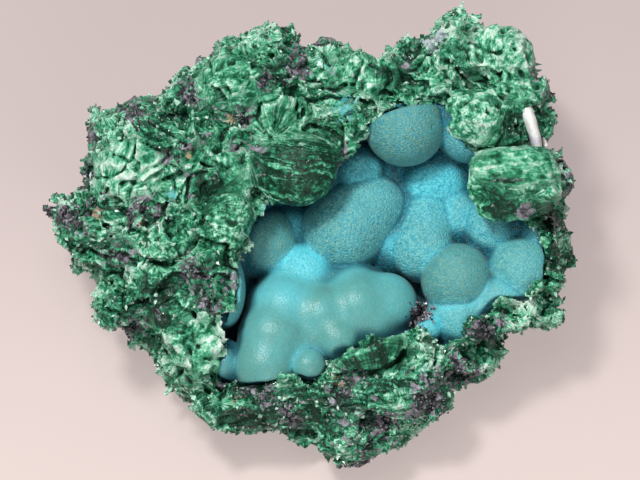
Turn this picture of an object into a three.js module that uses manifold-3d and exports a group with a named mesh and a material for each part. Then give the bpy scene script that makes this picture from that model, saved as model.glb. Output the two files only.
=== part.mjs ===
// A hand-size mineral specimen: a broken nodule of fibrous malachite with a vug lined by botryoidal
// chrysocolla. It grew as one piece, so it is one solid. Millimetres, +Z up, resting on its flat base.
//
// The shape is worked out in a face frame, [across, up, out], that looks square into the vug. The face
// frame leans back from the vertical by FACE_LEAN, and its origin is GIRTH_HEIGHT above the base.
import * as THREE from "three";
import { ConvexGeometry } from "three/addons/geometries/ConvexGeometry.js";
import { mergeVertices } from "three/addons/utils/BufferGeometryUtils.js";
import Module from "manifold-3d";

const wasm = await Module();
wasm.setup();

// ---- driving dimensions ----
const FACE_LEAN = THREE.MathUtils.degToRad(25); // the vug opens up, and this far towards the front
const GIRTH_HEIGHT = 12; // height of the face frame's origin above the base
const RIM_REACH = 12.5; // how far the broken rim stands out of the girth plane
const BACK_FALL = 0.25; // the rim comes in by this share of a place's distance up the face
const BASE_OVERCUT = 5.5; // how far the rough nodule runs below the base before it is cut flat
const VUG_MOUTH = { middle: [7.0, -1.0], out: 14.0 }; // where the vug is widest
const VUG_DEPTH = 15.3; // from its mouth to its floor, before the domes grow in it
const GRIT = 0.6; // how far the broken surface is pitted and raised
const CENTRE = [-0.23, 0.61]; // middle of the finished footprint, moved to the origin

// Icosahedron subdivisions.
const NODULE_DETAIL = 11;
const VUG_DETAIL = 5;
const DOME_DETAIL = 2;
const LUMP_CORNERS = 22;
const CUTTER_SIZE = 200;

// The nodule's girth, [across, up], clockwise from its left tip as the vug is looked into.
const GIRTH = [
  [-33.0, 5.1], [-29.4, 7.8], [-29.3, 11.7], [-27.4, 17.2], [-23.9, 17.7], [-20.2, 19.0],
  [-17.8, 21.6], [-13.3, 24.2], [-7.2, 27.2], [-2.7, 27.6], [-1.3, 25.8], [2.9, 26.3],
  [6.4, 24.4], [9.8, 24.6], [14.0, 25.7], [17.4, 27.7], [21.5, 29.1], [23.0, 27.2],
  [27.0, 25.7], [29.3, 23.0], [29.5, 19.2], [31.3, 16.5], [30.7, 13.0], [31.6, 9.1],
  [32.7, 5.7], [32.1, 3.3], [32.9, 0.0], [32.8, -5.2], [32.0, -8.6], [27.4, -12.0],
  [22.6, -15.2], [22.0, -17.0], [17.8, -19.5], [17.0, -21.6], [10.3, -27.3], [5.2, -29.3],
  [2.6, -28.0], [-0.5, -25.4], [-4.8, -25.0], [-11.1, -23.5], [-18.3, -19.9], [-20.0, -17.3],
  [-21.3, -13.7], [-24.2, -11.1], [-27.3, -9.9], [-28.0, -6.0], [-31.5, -1.8], [-33.2, 2.0],
];

// The mouth of the vug, [across, up], clockwise from its left edge.
const VUG_RIM = [
  [-9.0, 0.0], [-8.4, 2.2], [-7.2, 4.0], [-5.0, 6.4], [-1.3, 8.0], [3.0, 10.0], [4.4, 12.1],
  [6.2, 14.6], [8.8, 16.8], [11.7, 18.0], [16.5, 18.3], [18.9, 16.9], [20.6, 14.0],
  [22.4, 10.8], [23.6, 7.2], [26.5, 5.0], [30.2, 2.8], [31.3, 0.0], [31.2, -5.2], [28.8, -7.8],
  [24.6, -8.2], [22.9, -9.8], [21.7, -12.0], [20.2, -13.5], [16.9, -13.9], [13.6, -12.0],
  [11.8, -12.3], [7.8, -13.9], [3.4, -15.4], [1.3, -18.4], [-1.8, -18.3], [-6.5, -19.2],
  [-10.1, -19.1], [-12.5, -17.8], [-12.0, -13.7], [-11.4, -10.4], [-10.4, -7.8], [-9.7, -5.2],
  [-9.2, -2.6],
];

// Lumps on the broken rim: middle is [across, up, how far above the rim surface].
const MALACHITE_LUMPS = {
  left_mound: { middle: [-19.5, 9.5, -2.6], radii: [8.5, 7.4, 4.6] },
  left_tip: { middle: [-28.4, 2.6, -3.0], radii: [4.2, 4.8, 4.6] },
  left_shoulder: { middle: [-17.8, -3.6, -2.4], radii: [6.5, 6.6, 4.4] },
  left_knob: { middle: [-24.4, -8.2, -2.2], radii: [3.4, 2.9, 4.0] },
  front_left_rim: { middle: [-14.8, -14.6, -1.8], radii: [4.0, 4.8, 4.0] },
  left_inner: { middle: [-12.2, 0.6, -1.2], radii: [4.0, 4.0, 3.4] },
  hanging_lobe: { middle: [-1.7, 9.0, -0.3], radii: [5.2, 4.7, 3.6] },
  side_lobe: { middle: [-10.4, 3.2, 0.2], radii: [3.3, 3.5, 3.0] },
  inner_lobe: { middle: [-9.2, 8.8, 0.2], radii: [3.0, 3.0, 2.6] },
  back_left_crest: { middle: [-6.0, 19.0, -1.6], radii: [6.6, 5.6, 4.0] },
  back_crest: { middle: [8.2, 20.4, -1.4], radii: [5.6, 3.8, 3.2] },
  ledge: { middle: [5.4, 14.6, -2.0], radii: [5.2, 2.4, 2.0] },
  fan: { middle: [24.8, 23.6, -2.0], radii: [4.6, 4.4, 5.0] },
  fan_foot: { middle: [18.6, 23.6, -1.4], radii: [2.6, 4.6, 3.6] },
  bowl_rim: { middle: [25.6, 18.6, -0.6], radii: [5.0, 3.2, 3.6] },
  shell_lump: { middle: [21.4, 15.8, -0.8], radii: [4.4, 4.4, 3.4] },
  right_tooth: { middle: [29.8, 15.8, -3.0], radii: [2.1, 2.6, 3.0] },
  right_rim: { middle: [31.4, -3.0, -2.0], radii: [1.4, 7.0, 4.0] },
  front_right_rim: { middle: [27.4, -9.8, -1.8], radii: [4.4, 2.6, 3.2] },
  front_right_foot: { middle: [20.6, -16.4, -2.4], radii: [4.2, 2.6, 5.0] },
  front_foot: { middle: [12.6, -19.0, -2.4], radii: [6.0, 4.6, 4.6] },
  front_toe: { middle: [6.0, -25.0, -2.5], radii: [4.4, 3.6, 4.6] },
  front_left_foot: { middle: [-7.5, -21.4, -2.4], radii: [8.0, 2.8, 4.6] },
};

// Botryoidal domes in the vug: place is [across, up, out].
const CHRYSOCOLLA_DOMES = [
  { place: [12.3, 14.8, 5.0], radius: 5.3 },
  { place: [21.2, 15.4, 3.2], radius: 5.6 },
  { place: [4.2, 1.0, 1.2], radius: 5.8 },
  { place: [6.5, 3.2, 1.1], radius: 5.0 },
  { place: [8.7, 4.6, 1.2], radius: 3.8 },
  { place: [6.2, 8.8, 0.4], radius: 3.9 },
  { place: [1.0, 8.0, 0.0], radius: 4.0 },
  { place: [16.2, 7.8, -2.6], radius: 6.2 },
  { place: [11.2, 9.6, -2.8], radius: 4.8 },
  { place: [10.9, -0.4, -0.6], radius: 4.7 },
  { place: [12.2, 3.6, -1.0], radius: 3.8 },
  { place: [14.8, -1.2, 2.0], radius: 4.5 },
  { place: [15.4, 2.6, 0.6], radius: 3.9 },
  { place: [19.2, 2.6, -0.2], radius: 4.4 },
  { place: [24.2, 1.6, 1.2], radius: 4.8 },
  { place: [29.2, 1.0, 3.4], radius: 3.0 },
  { place: [19.1, -5.2, 4.4], radius: 4.8 },
  { place: [27.6, -4.2, 3.4], radius: 5.2 },
  { place: [19.4, -9.6, 3.8], radius: 4.6 },
  { place: [24.6, -8.4, 4.4], radius: 4.4 },
  { place: [15.3, -11.5, 6.6], radius: 1.7 },
  { place: [-5.9, -0.6, 1.2], radius: 4.9 },
  { place: [-2.2, 0.6, -0.4], radius: 4.2 },
  { place: [-0.8, -5.4, 0.4], radius: 6.2 },
  { place: [-3.2, -9.4, 4.4], radius: 5.3 },
  { place: [-4.6, -12.6, 6.6], radius: 4.8 },
  { place: [-5.7, -16.2, 7.6], radius: 4.3 },
  { place: [1.4, -9.9, 5.7], radius: 4.3 },
  { place: [3.6, -12.9, 7.3], radius: 3.4 },
  { place: [5.4, -7.4, 2.4], radius: 4.9 },
  { place: [6.2, -8.7, 5.3], radius: 4.4 },
  { place: [9.8, -8.4, 4.2], radius: 4.2 },
  { place: [8.0, -11.4, 5.4], radius: 4.0 },
  { place: [-0.8, -13.6, 5.6], radius: 4.2 },
  { place: [-0.2, -16.2, 9.3], radius: 2.3 },
  { place: [-11.4, -15.8, 6.6], radius: 3.2 },
];
const WALL_LOBE = { place: [-10.7, -6.4, 7.6], radii: [2.4, 4.9, 4.8] };

// A chunk of malachite overhangs the right of the vug, with flat broken faces.
const CHUNK_CORNERS = [
  [21.7, 11.4, 9.0], [26.4, 12.0, 9.4], [30.6, 11.6, 8.4], [31.8, 9.2, 7.6], [20.5, 9.2, 11.0],
  [22.8, 8.6, 12.4], [25.6, 6.9, 13.4], [28.4, 6.9, 13.2], [30.8, 6.0, 12.0], [32.4, 6.4, 9.4],
  [20.4, 6.6, 10.4], [22.0, 3.2, 9.8], [24.7, 2.5, 10.0], [28.0, 2.6, 9.8], [30.8, 3.8, 9.2],
  [23.6, 4.4, 5.5], [28.5, 4.2, 4.5], [31.2, 6.0, 3.5], [24.0, 9.6, 4.0], [30.0, 10.4, 3.0],
];
// A thin broken shell of malachite laps over the front of the domes.
const FLAKE_EDGE = [
  [2.5, -15.5, 12.6], [6.1, -14.6, 12.9], [8.5, -14.0, 12.8], [10.1, -12.6, 12.3],
  [12.2, -11.7, 11.8], [12.7, -13.1, 11.4], [11.3, -15.2, 11.6], [8.7, -16.6, 11.8],
  [4.4, -16.8, 11.9],
];
const FLAKE_THICKNESS = 1.3;

// ---- helpers ----
// Low swells and hollows that keep the broken surfaces from being even, from -1 to 1.
function swell([x, y, z]) {
  return (
    (Math.sin(0.5 * x + 0.9) * Math.cos(0.59 * y - 0.4) +
      Math.sin(0.85 * y + 1.1 * z + 1.7) * Math.cos(0.7 * x - 0.3 * z) +
      Math.sin(1.1 * z + 0.7 * x - 0.6) * Math.cos(1.0 * y + 0.3)) / 3
  );
}

// A pit or a bump of up to the given size; the seed makes every build the same.
THREE.MathUtils.seededRandom(11);
const grit = (size) => (2 * THREE.MathUtils.seededRandom() - 1) * size;

function solidOf(geometry) {
  geometry.deleteAttribute("normal");
  geometry.deleteAttribute("uv");
  const merged = mergeVertices(geometry, 1e-4);
  return new wasm.Manifold(
    new wasm.Mesh({
      numProp: 3,
      vertProperties: merged.getAttribute("position").array,
      triVerts: new Uint32Array(merged.index.array),
    }),
  );
}

function geometryOf(solid) {
  const mesh = solid.getMesh();
  const geometry = new THREE.BufferGeometry();
  geometry.setAttribute("position", new THREE.BufferAttribute(mesh.vertProperties, 3));
  geometry.setIndex(new THREE.BufferAttribute(mesh.triVerts, 1));
  geometry.computeVertexNormals();
  return geometry;
}

// A closed ball with each vertex moved to place(direction).
function ball(detail, place) {
  const geometry = new THREE.IcosahedronGeometry(1, detail);
  geometry.deleteAttribute("normal");
  geometry.deleteAttribute("uv");
  const merged = mergeVertices(geometry, 1e-4);
  const position = merged.getAttribute("position");
  for (let i = 0; i < position.count; i++) {
    position.setXYZ(i, ...place(new THREE.Vector3().fromBufferAttribute(position, i)));
  }
  return solidOf(merged);
}

function ellipsoid(place, radii) {
  return ball(DOME_DETAIL, (direction) => radii.map((r, k) => place[k] + r * direction.getComponent(k)));
}

function hull(corners) {
  return solidOf(new ConvexGeometry(corners.map((corner) => new THREE.Vector3(...corner))));
}

// An angular lump with flat broken faces: the hull of corners spread evenly round an ellipsoid.
function lump(place, radii) {
  const goldenTurn = Math.PI * (3 - Math.sqrt(5));
  const corners = Array.from({ length: LUMP_CORNERS }, (_, i) => {
    const polar = Math.acos(1 - (2 * (i + 0.5)) / LUMP_CORNERS) + grit(0.2);
    const direction = new THREE.Vector3().setFromSphericalCoords(1, polar, i * goldenTurn + grit(0.3));
    const reach = 1 + grit(0.12);
    return radii.map((r, k) => place[k] + r * reach * direction.getComponent(k));
  });
  return hull(corners);
}

// Distance from a middle to a closed outline, by direction.
function outlineRadius(outline, [u0, v0] = [0, 0]) {
  const corners = outline.map(([u, v]) => new THREE.Vector3(u - u0, v - v0, 0));
  const curve = new THREE.CatmullRomCurve3(corners, true, "centripetal");
  const ring = curve
    .getPoints(outline.length * 8)
    .map((p) => ({ angle: Math.atan2(p.y, p.x), radius: Math.hypot(p.x, p.y) }))
    .sort((a, b) => a.angle - b.angle);
  return (angle) => {
    const after = ring.findIndex((p) => p.angle >= angle);
    const b = ring[after < 0 ? 0 : after];
    const a = ring[after <= 0 ? ring.length - 1 : after - 1];
    const span = (b.angle - a.angle + 2 * Math.PI) % (2 * Math.PI) || 1;
    const share = ((angle - a.angle + 2 * Math.PI) % (2 * Math.PI)) / span;
    return THREE.MathUtils.lerp(a.radius, b.radius, THREE.MathUtils.clamp(share, 0, 1));
  };
}

// How far from its start a line along the direction runs before fullness(point) reaches 1.
function reachAlong(direction, fullness) {
  let [inside, outside] = [0, 70];
  for (let step = 0; step < 40; step++) {
    const middle = (inside + outside) / 2;
    if (fullness(direction.clone().multiplyScalar(middle)) < 1) inside = middle;
    else outside = middle;
  }
  return inside;
}

// ---- the nodule and its vug ----
const girthRadius = outlineRadius(GIRTH);
const RIM_SQUARENESS = { round: 4.0, rise: 2.4 };
const BASE_SQUARENESS = { round: 2.4, rise: 2.2 };
const VUG_SQUARENESS = { round: 6.0, rise: 3.0 };

const around = (u, v) => Math.hypot(u, v) / girthRadius(Math.atan2(v, u));
const rimReach = (v) => RIM_REACH - BACK_FALL * Math.max(v, 0);
const baseReach = (v) =>
  Math.max(3, (GIRTH_HEIGHT + Math.sin(FACE_LEAN) * v) / Math.cos(FACE_LEAN) + BASE_OVERCUT);

// How far out the rim surface lies at a place on the face.
function rimSurface(u, v) {
  const share = Math.min(around(u, v), 0.98);
  return rimReach(v) * (1 - share ** RIM_SQUARENESS.round) ** (1 / RIM_SQUARENESS.rise);
}

function nodule() {
  return ball(NODULE_DETAIL, (direction) => {
    const reach = reachAlong(direction, ({ x: u, y: v, z: w }) => {
      const { round, rise } = w > 0 ? RIM_SQUARENESS : BASE_SQUARENESS;
      const height = w > 0 ? rimReach(v) : baseReach(v);
      return around(u, v) ** round + (Math.abs(w) / height) ** rise;
    });
    const at = direction.clone().multiplyScalar(reach);
    const rise = 0.9 * swell(at.toArray()) * Math.abs(direction.z) + grit(GRIT);
    return at.addScaledVector(direction, rise).toArray();
  });
}

function vug() {
  const [u0, v0] = VUG_MOUTH.middle;
  const radius = outlineRadius(VUG_RIM, VUG_MOUTH.middle);
  return ball(VUG_DETAIL, (direction) => {
    const reach = reachAlong(direction, ({ x: u, y: v, z: w }) => {
      const { round, rise } = VUG_SQUARENESS;
      const share = Math.hypot(u, v) / radius(Math.atan2(v, u));
      return share ** round + (Math.abs(w) / VUG_DEPTH) ** rise;
    });
    const at = direction.clone().multiplyScalar(reach);
    return [u0 + at.x, v0 + at.y, VUG_MOUTH.out + at.z];
  });
}

// ---- the specimen ----
function specimen() {
  const lumps = Object.values(MALACHITE_LUMPS).map(({ middle: [u, v, above], radii }) =>
    lump([u, v, rimSurface(u, v) + above], radii),
  );
  const domes = CHRYSOCOLLA_DOMES.map(({ place, radius }) => ellipsoid(place, [radius, radius, radius]));
  const lobe = ellipsoid(WALL_LOBE.place, WALL_LOBE.radii);
  const chunk = hull(CHUNK_CORNERS);
  const flake = hull(
    FLAKE_EDGE.flatMap(([u, v, w]) => [[u, v, w], [u, v, w - FLAKE_THICKNESS]]),
  );
  const rough = nodule().subtract(vug());
  const grown = wasm.Manifold.union([rough, ...lumps, ...domes, lobe, chunk, flake]);
  const seated = solidOf(
    geometryOf(grown).rotateX(FACE_LEAN).translate(-CENTRE[0], -CENTRE[1], GIRTH_HEIGHT),
  );
  const below = new THREE.BoxGeometry(CUTTER_SIZE, CUTTER_SIZE, CUTTER_SIZE);
  const cut = seated.subtract(solidOf(below.translate(0, 0, -CUTTER_SIZE / 2)));
  const pieces = cut.decompose();
  return pieces.reduce((a, b) => (a.volume() > b.volume() ? a : b));
}

const stone = new THREE.MeshStandardMaterial({ color: 0x1c6b4c, roughness: 0.6, metalness: 0 });
const mesh = new THREE.Mesh(geometryOf(specimen()), stone);
mesh.name = "specimen";

const group = new THREE.Group();
group.add(mesh);

export default group;
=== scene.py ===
"""Looks of a chrysocolla specimen: a broken malachite nodule with a vug lined by botryoidal chrysocolla.

The stone is worked out as distance fields in millimetres in a face frame, [across, up, out], that looks
square into the vug. The face frame leans back from the vertical and stands above the stone's base.
"""

import logging
import math
from dataclasses import dataclass, field
from enum import Enum

import bmesh
import bpy
import numpy as np
import openvdb
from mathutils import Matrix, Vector

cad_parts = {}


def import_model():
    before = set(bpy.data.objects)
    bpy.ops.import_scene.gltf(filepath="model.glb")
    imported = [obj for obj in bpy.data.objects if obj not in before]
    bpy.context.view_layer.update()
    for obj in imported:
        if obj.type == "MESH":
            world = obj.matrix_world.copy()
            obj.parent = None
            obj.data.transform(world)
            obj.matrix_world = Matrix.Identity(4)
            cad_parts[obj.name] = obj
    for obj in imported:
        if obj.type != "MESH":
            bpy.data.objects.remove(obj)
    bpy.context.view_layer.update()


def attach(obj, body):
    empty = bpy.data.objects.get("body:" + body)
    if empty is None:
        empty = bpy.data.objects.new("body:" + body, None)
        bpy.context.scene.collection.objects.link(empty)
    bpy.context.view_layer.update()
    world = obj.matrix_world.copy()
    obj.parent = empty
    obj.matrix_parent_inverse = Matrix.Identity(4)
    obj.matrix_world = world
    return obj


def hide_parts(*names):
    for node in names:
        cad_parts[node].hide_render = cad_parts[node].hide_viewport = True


log = logging.getLogger("specimen")

Triple = tuple[float, float, float]
Socket = bpy.types.NodeSocket
Pair = tuple[float, float]
FAR = 6.0


# ---------------------------------------------------------------- frames and lattices
@dataclass(frozen=True)
class FaceFrame:
    """Where the face frame stands in the row frame.

    Args:
        lean: degrees the vug's face leans back from the vertical axis of the row frame.
        height: millimetres from the base to the face frame's origin.
        centre: middle of the footprint in the face frame's own across and depth directions, millimetres.
    """

    lean: float = 25.0
    height: float = 12.0
    centre: Pair = (-0.23, 0.61)

    def to_row(self, points: np.ndarray) -> np.ndarray:
        """Returns face-frame points in millimetres as row-frame points in metres.

        Args:
            points: (N, 3) places across, up and out, in millimetres.

        Returns:
            The same places in metres in the frame that the specimen rests in.
        """
        turn = math.radians(self.lean)
        u, v, w = points[:, 0], points[:, 1], points[:, 2]
        out = np.empty_like(points)
        out[:, 0] = u - self.centre[0]
        out[:, 1] = v * math.cos(turn) - w * math.sin(turn) - self.centre[1]
        out[:, 2] = v * math.sin(turn) + w * math.cos(turn) + self.height
        return out * 0.001

    def floor_field(self, v: np.ndarray, w: np.ndarray) -> np.ndarray:
        """Distance below the plane that the specimen rests on, positive under it."""
        turn = math.radians(self.lean)
        return -(v * math.sin(turn) + w * math.cos(turn) + self.height)


class Lattice:
    """A regular lattice of sample points in the face frame."""

    def __init__(self, low: Triple, high: Triple, step: float) -> None:
        """Lays out the lattice.

        Args:
            low: lowest corner, millimetres.
            high: highest corner, millimetres.
            step: spacing, millimetres.
        """
        self.low = np.array(low, np.float32)
        self.step = step
        self.axes = [np.arange(low[k], high[k], step, dtype=np.float32) for k in range(3)]
        self.shape = tuple(len(a) for a in self.axes)
        self.u = self.axes[0][:, None, None]
        self.v = self.axes[1][None, :, None]
        self.w = self.axes[2][None, None, :]

    def around(self, place: Triple, reach: Triple) -> tuple[slice, ...]:
        """Returns the slices of the lattice that cover a box.

        Args:
            place: middle of the box.
            reach: half its size.

        Returns:
            One slice for each axis.
        """
        cut = []
        for k in range(3):
            a = int(np.floor((place[k] - reach[k] - self.low[k]) / self.step))
            b = int(np.ceil((place[k] + reach[k] - self.low[k]) / self.step)) + 1
            cut.append(slice(max(0, min(a, self.shape[k])), max(0, min(b, self.shape[k]))))
        return tuple(cut)

    def offsets(self, cut: tuple[slice, ...], place: Triple) -> tuple[np.ndarray, ...]:
        """Returns the three axes of a cut box of the lattice, measured from a place.

        Args:
            cut: slices of the lattice.
            place: where the axes are measured from.

        Returns:
            Three arrays that broadcast to the cut box.
        """
        return (
            self.u[cut[0]] - place[0],
            self.v[:, cut[1]] - place[1],
            self.w[:, :, cut[2]] - place[2],
        )

    def points(self, index: tuple[np.ndarray, ...]) -> np.ndarray:
        """Returns the lattice points of an index as an (N, 3) array."""
        return np.stack([self.axes[k][index[k]] for k in range(3)], -1)

    def sample(self, values: np.ndarray, points: np.ndarray) -> np.ndarray:
        """Returns a lattice of values read off at free points, blended between lattice points.

        Args:
            values: one value for each lattice point.
            points: (N, 3) free points.

        Returns:
            (N,) values.
        """
        q = (points - self.low) / self.step
        base = np.clip(np.floor(q).astype(np.int32), 0, np.array(self.shape) - 2)
        f = (q - base).clip(0, 1).astype(np.float32)
        out = np.zeros(len(points), np.float32)
        for i in (0, 1):
            for j in (0, 1):
                for k in (0, 1):
                    share = (
                        (f[:, 0] if i else 1 - f[:, 0])
                        * (f[:, 1] if j else 1 - f[:, 1])
                        * (f[:, 2] if k else 1 - f[:, 2])
                    )
                    out += share * values[base[:, 0] + i, base[:, 1] + j, base[:, 2] + k]
        return out

    def surface(self, values: np.ndarray, adaptivity: float = 0.0) -> tuple[np.ndarray, np.ndarray]:
        """Meshes the zero surface of a distance field.

        Args:
            values: distances, negative inside, positive on the lattice's own boundary.
            adaptivity: how far flat parts are merged into larger faces.

        Returns:
            Vertices in millimetres and triangles facing out.
        """
        grid = openvdb.FloatGrid(2.0)
        grid.copyFromArray(np.ascontiguousarray(values, dtype=np.float32))
        points, triangles, quads = grid.convertToPolygons(isovalue=0.0, adaptivity=adaptivity)
        faces = [triangles[:, ::-1]] if len(triangles) else []
        if len(quads):
            quads = quads[:, ::-1]
            faces += [quads[:, [0, 1, 2]], quads[:, [0, 2, 3]]]
        faces = np.concatenate(faces).astype(np.int32)
        points = points.astype(np.float32) * self.step + self.low
        a, b, c = (points[faces[:, k]] for k in range(3))
        if np.einsum("ij,ij->i", a, np.cross(b, c)).sum() < 0:
            faces = faces[:, ::-1]
        return points, faces


# ---------------------------------------------------------------- noise
_TABLES: dict[int, np.ndarray] = {}


def _table(seed: int) -> np.ndarray:
    """Returns a fixed 64-cubed table of random values from -1 to 1.

    Args:
        seed: number that picks the table.

    Returns:
        The table, kept for the next call.
    """
    if seed not in _TABLES:
        _TABLES[seed] = np.random.default_rng(seed).random((64, 64, 64), dtype=np.float32) * 2 - 1
    return _TABLES[seed]


def value_noise(points: np.ndarray, seed: int) -> np.ndarray:
    """Smooth noise from -1 to 1 at points of an (N, 3) array.

    Args:
        points: places, one unit between random values.
        seed: number that picks the values.

    Returns:
        (N,) values.
    """
    table = _table(seed)
    base = np.floor(points).astype(np.int32)
    f = (points - base).astype(np.float32)
    f = f * f * (3 - 2 * f)
    out = np.zeros(len(points), np.float32)
    for i in (0, 1):
        for j in (0, 1):
            for k in (0, 1):
                share = (
                    (f[:, 0] if i else 1 - f[:, 0])
                    * (f[:, 1] if j else 1 - f[:, 1])
                    * (f[:, 2] if k else 1 - f[:, 2])
                )
                out += share * table[(base[:, 0] + i) & 63, (base[:, 1] + j) & 63, (base[:, 2] + k) & 63]
    return out


def layered_noise(points: np.ndarray, size: float, layers: int, seed: int) -> np.ndarray:
    """Sums layers of smooth noise, each half the size and strength of the last.

    Args:
        points: (N, 3) array, millimetres.
        size: size of the largest swells, millimetres.
        layers: how many layers.
        seed: number that picks the noise.

    Returns:
        Values from about -1 to 1.
    """
    total, strength = np.zeros(len(points), np.float32), 1.0
    for layer in range(layers):
        total += strength * value_noise(points * (2**layer / size) + 7.3 * layer, seed + layer)
        strength *= 0.5
    return total / (2 - 2 * strength)


@dataclass(frozen=True)
class Cells:
    """The two nearest of scattered cell centres, for each point.

    Args:
        number: the nearest cell's number.
        offset: from the nearest centre to the point.
        other: the next nearest cell's number.
        beyond: from the next nearest centre to the point.
    """

    number: np.ndarray
    offset: np.ndarray
    other: np.ndarray
    beyond: np.ndarray


def scattered_cells(points: np.ndarray, size: float, seed: int) -> Cells:
    """Finds the two nearest of randomly scattered cell centres for each point.

    Args:
        points: (N, 3) array, millimetres.
        size: mean spacing of the centres, millimetres.
        seed: number that picks the scatter.

    Returns:
        The cells, with offsets in millimetres.
    """
    jitter = np.random.default_rng(seed).random((32 * 32 * 32, 3), dtype=np.float32)
    q = points / np.float32(size)
    base = np.floor(q).astype(np.int32)
    f = (q - base).astype(np.float32)
    n = len(points)
    first, second = np.full(n, 9e9, np.float32), np.full(n, 9e9, np.float32)
    number, other = np.zeros(n, np.int32), np.zeros(n, np.int32)
    offset, beyond = np.zeros((n, 3), np.float32), np.zeros((n, 3), np.float32)
    for i in (-1, 0, 1):
        for j in (-1, 0, 1):
            for k in (-1, 0, 1):
                m = (base + (i, j, k)) & 31
                flat = (m[:, 0] * 32 + m[:, 1]) * 32 + m[:, 2]
                away = f - (jitter[flat] + np.array((i, j, k), np.float32))
                d = np.einsum("ij,ij->i", away, away)
                near = d < first
                next_near = ~near & (d < second)
                other[near], other[next_near] = number[near], flat[next_near]
                beyond[near], beyond[next_near] = offset[near], away[next_near]
                second[near], second[next_near] = first[near], d[next_near]
                number[near], offset[near], first[near] = flat[near], away[near], d[near]
    return Cells(number, offset * size, other, beyond * size)


def cell_values(number: np.ndarray, width: int, seed: int) -> np.ndarray:
    """Returns width random values from -1 to 1 for each cell number."""
    table = np.random.default_rng(seed).random((32 * 32 * 32, width), dtype=np.float32) * 2 - 1
    return table[number]


def fracture(cells: Cells, tilt: float, step: float, bowl: float, seed: int) -> np.ndarray:
    """Height of a broken surface of tilted shallow bowls that meet in crisp ridges.

    Args:
        cells: the cells that each hold one bowl.
        tilt: slope of the bowls against the surface.
        step: how far the bowls stand above or below one another.
        bowl: curvature of each bowl, 1/mm.
        seed: number that picks the slopes.

    Returns:
        Heights in millimetres.
    """
    heights = []
    for number, offset in ((cells.number, cells.offset), (cells.other, cells.beyond)):
        turn = cell_values(number, 4, seed)
        height = step * turn[:, 3] + tilt * np.einsum("ij,ij->i", turn[:, :3], offset)
        heights.append(height + bowl * np.einsum("ij,ij->i", offset, offset))
    return np.minimum(*heights)


def cracks(cells: Cells, width: float, seed: int) -> np.ndarray:
    """Open cracks between some neighbouring cells, 0 to 1 at the middle of a crack.

    Args:
        cells: the cells that the cracks run between.
        width: how wide a crack is, millimetres.
        seed: number that picks which pairs of cells crack apart.

    Returns:
        (N,) depths of crack, 0 to 1.
    """
    gap = np.linalg.norm(cells.beyond, axis=1) - np.linalg.norm(cells.offset, axis=1)
    pair = cell_values((cells.number + cells.other) & 32767, 1, seed)[:, 0]
    return np.clip(1 - gap / width, 0, 1) * (pair > 0.1)


# ---------------------------------------------------------------- shapes
def smooth_union(a: np.ndarray, b: np.ndarray, blend: float) -> np.ndarray:
    """Joins two distance fields with a fillet of about the given size."""
    h = np.maximum(blend - np.abs(a - b), 0) / blend
    return np.minimum(a, b) - h * h * blend * 0.25


def ellipsoid_distance(offsets: tuple[np.ndarray, ...], radii: Triple) -> np.ndarray:
    """Distance from an ellipsoid, negative inside.

    Args:
        offsets: places measured from its middle.
        radii: its three half axes.

    Returns:
        Distances in millimetres, close to true near its surface.
    """
    x, y, z = offsets
    k0 = np.sqrt((x / radii[0]) ** 2 + (y / radii[1]) ** 2 + (z / radii[2]) ** 2)
    k1 = np.sqrt((x / radii[0] ** 2) ** 2 + (y / radii[1] ** 2) ** 2 + (z / radii[2] ** 2) ** 2)
    return (k0 * (k0 - 1) / (k1 + 1e-6)).astype(np.float32)


class Outline:
    """A closed outline that every direction from its middle crosses once."""

    def __init__(self, corners: list[Pair], middle: Pair = (0.0, 0.0)) -> None:
        """Smooths the outline through its corners.

        Args:
            corners: points on it, in order.
            middle: the point that its reach is measured from.
        """
        p = np.array(corners) - np.array(middle)
        n, ring = len(p), []
        for i in range(n):
            a, b, c, d = p[i - 1], p[i], p[(i + 1) % n], p[(i + 2) % n]
            square, cube = 2 * a - 5 * b + 4 * c - d, 3 * b - a - 3 * c + d
            for t in np.linspace(0, 1, 8, endpoint=False):
                ring.append(0.5 * (2 * b + (c - a) * t + square * t**2 + cube * t**3))
        ring = np.array(ring)
        angle = np.arctan2(ring[:, 1], ring[:, 0])
        order = np.argsort(angle)
        self.middle = middle
        self.angle = angle[order]
        self.radius = np.hypot(ring[:, 0], ring[:, 1])[order]

    def share(self, u: np.ndarray, v: np.ndarray) -> np.ndarray:
        """Distance from the middle as a share of the outline's own, in that direction.

        Args:
            u: places across.
            v: places up.

        Returns:
            0 at the middle and 1 on the outline.
        """
        du, dv = u - self.middle[0], v - self.middle[1]
        radius = np.interp(np.arctan2(dv, du), self.angle, self.radius, period=2 * math.pi)
        return (np.hypot(du, dv) / radius).astype(np.float32)


@dataclass(frozen=True)
class Dome:
    """One botryoidal dome.

    Args:
        place: its middle.
        radius: its radius.
        weathered: 0 for bright blue to 1 for grey-green.
        cluster: domes of one cluster are fused with soft creases.
        silk: 0 for a sugary surface to 1 for a smooth silky one.
    """

    place: Triple
    radius: float
    weathered: float
    cluster: int
    silk: float = 0.0


@dataclass(frozen=True)
class Lump:
    """A lump on the broken rim.

    Args:
        middle: across, up, and how far above the rim surface.
        radii: half its size along the face frame's axes.
        calm: 0 for rough and broken to 1 for a smooth grown face.
    """

    middle: Triple
    radii: Triple
    calm: float = 0.0


class Mineral(Enum):
    """What a patch of the broken surface is made of; the deep-green patches are partly painted shade."""

    OXIDE = "oxide"
    MINT = "mint"
    DEEP = "deep"
    TURQUOISE = "turquoise"
    TAN = "tan"
    PALE = "pale"


@dataclass(frozen=True)
class Patch:
    """A patch of one mineral on the broken surface, [across, up] and radius."""

    mineral: Mineral
    place: Pair
    radius: float


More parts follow.
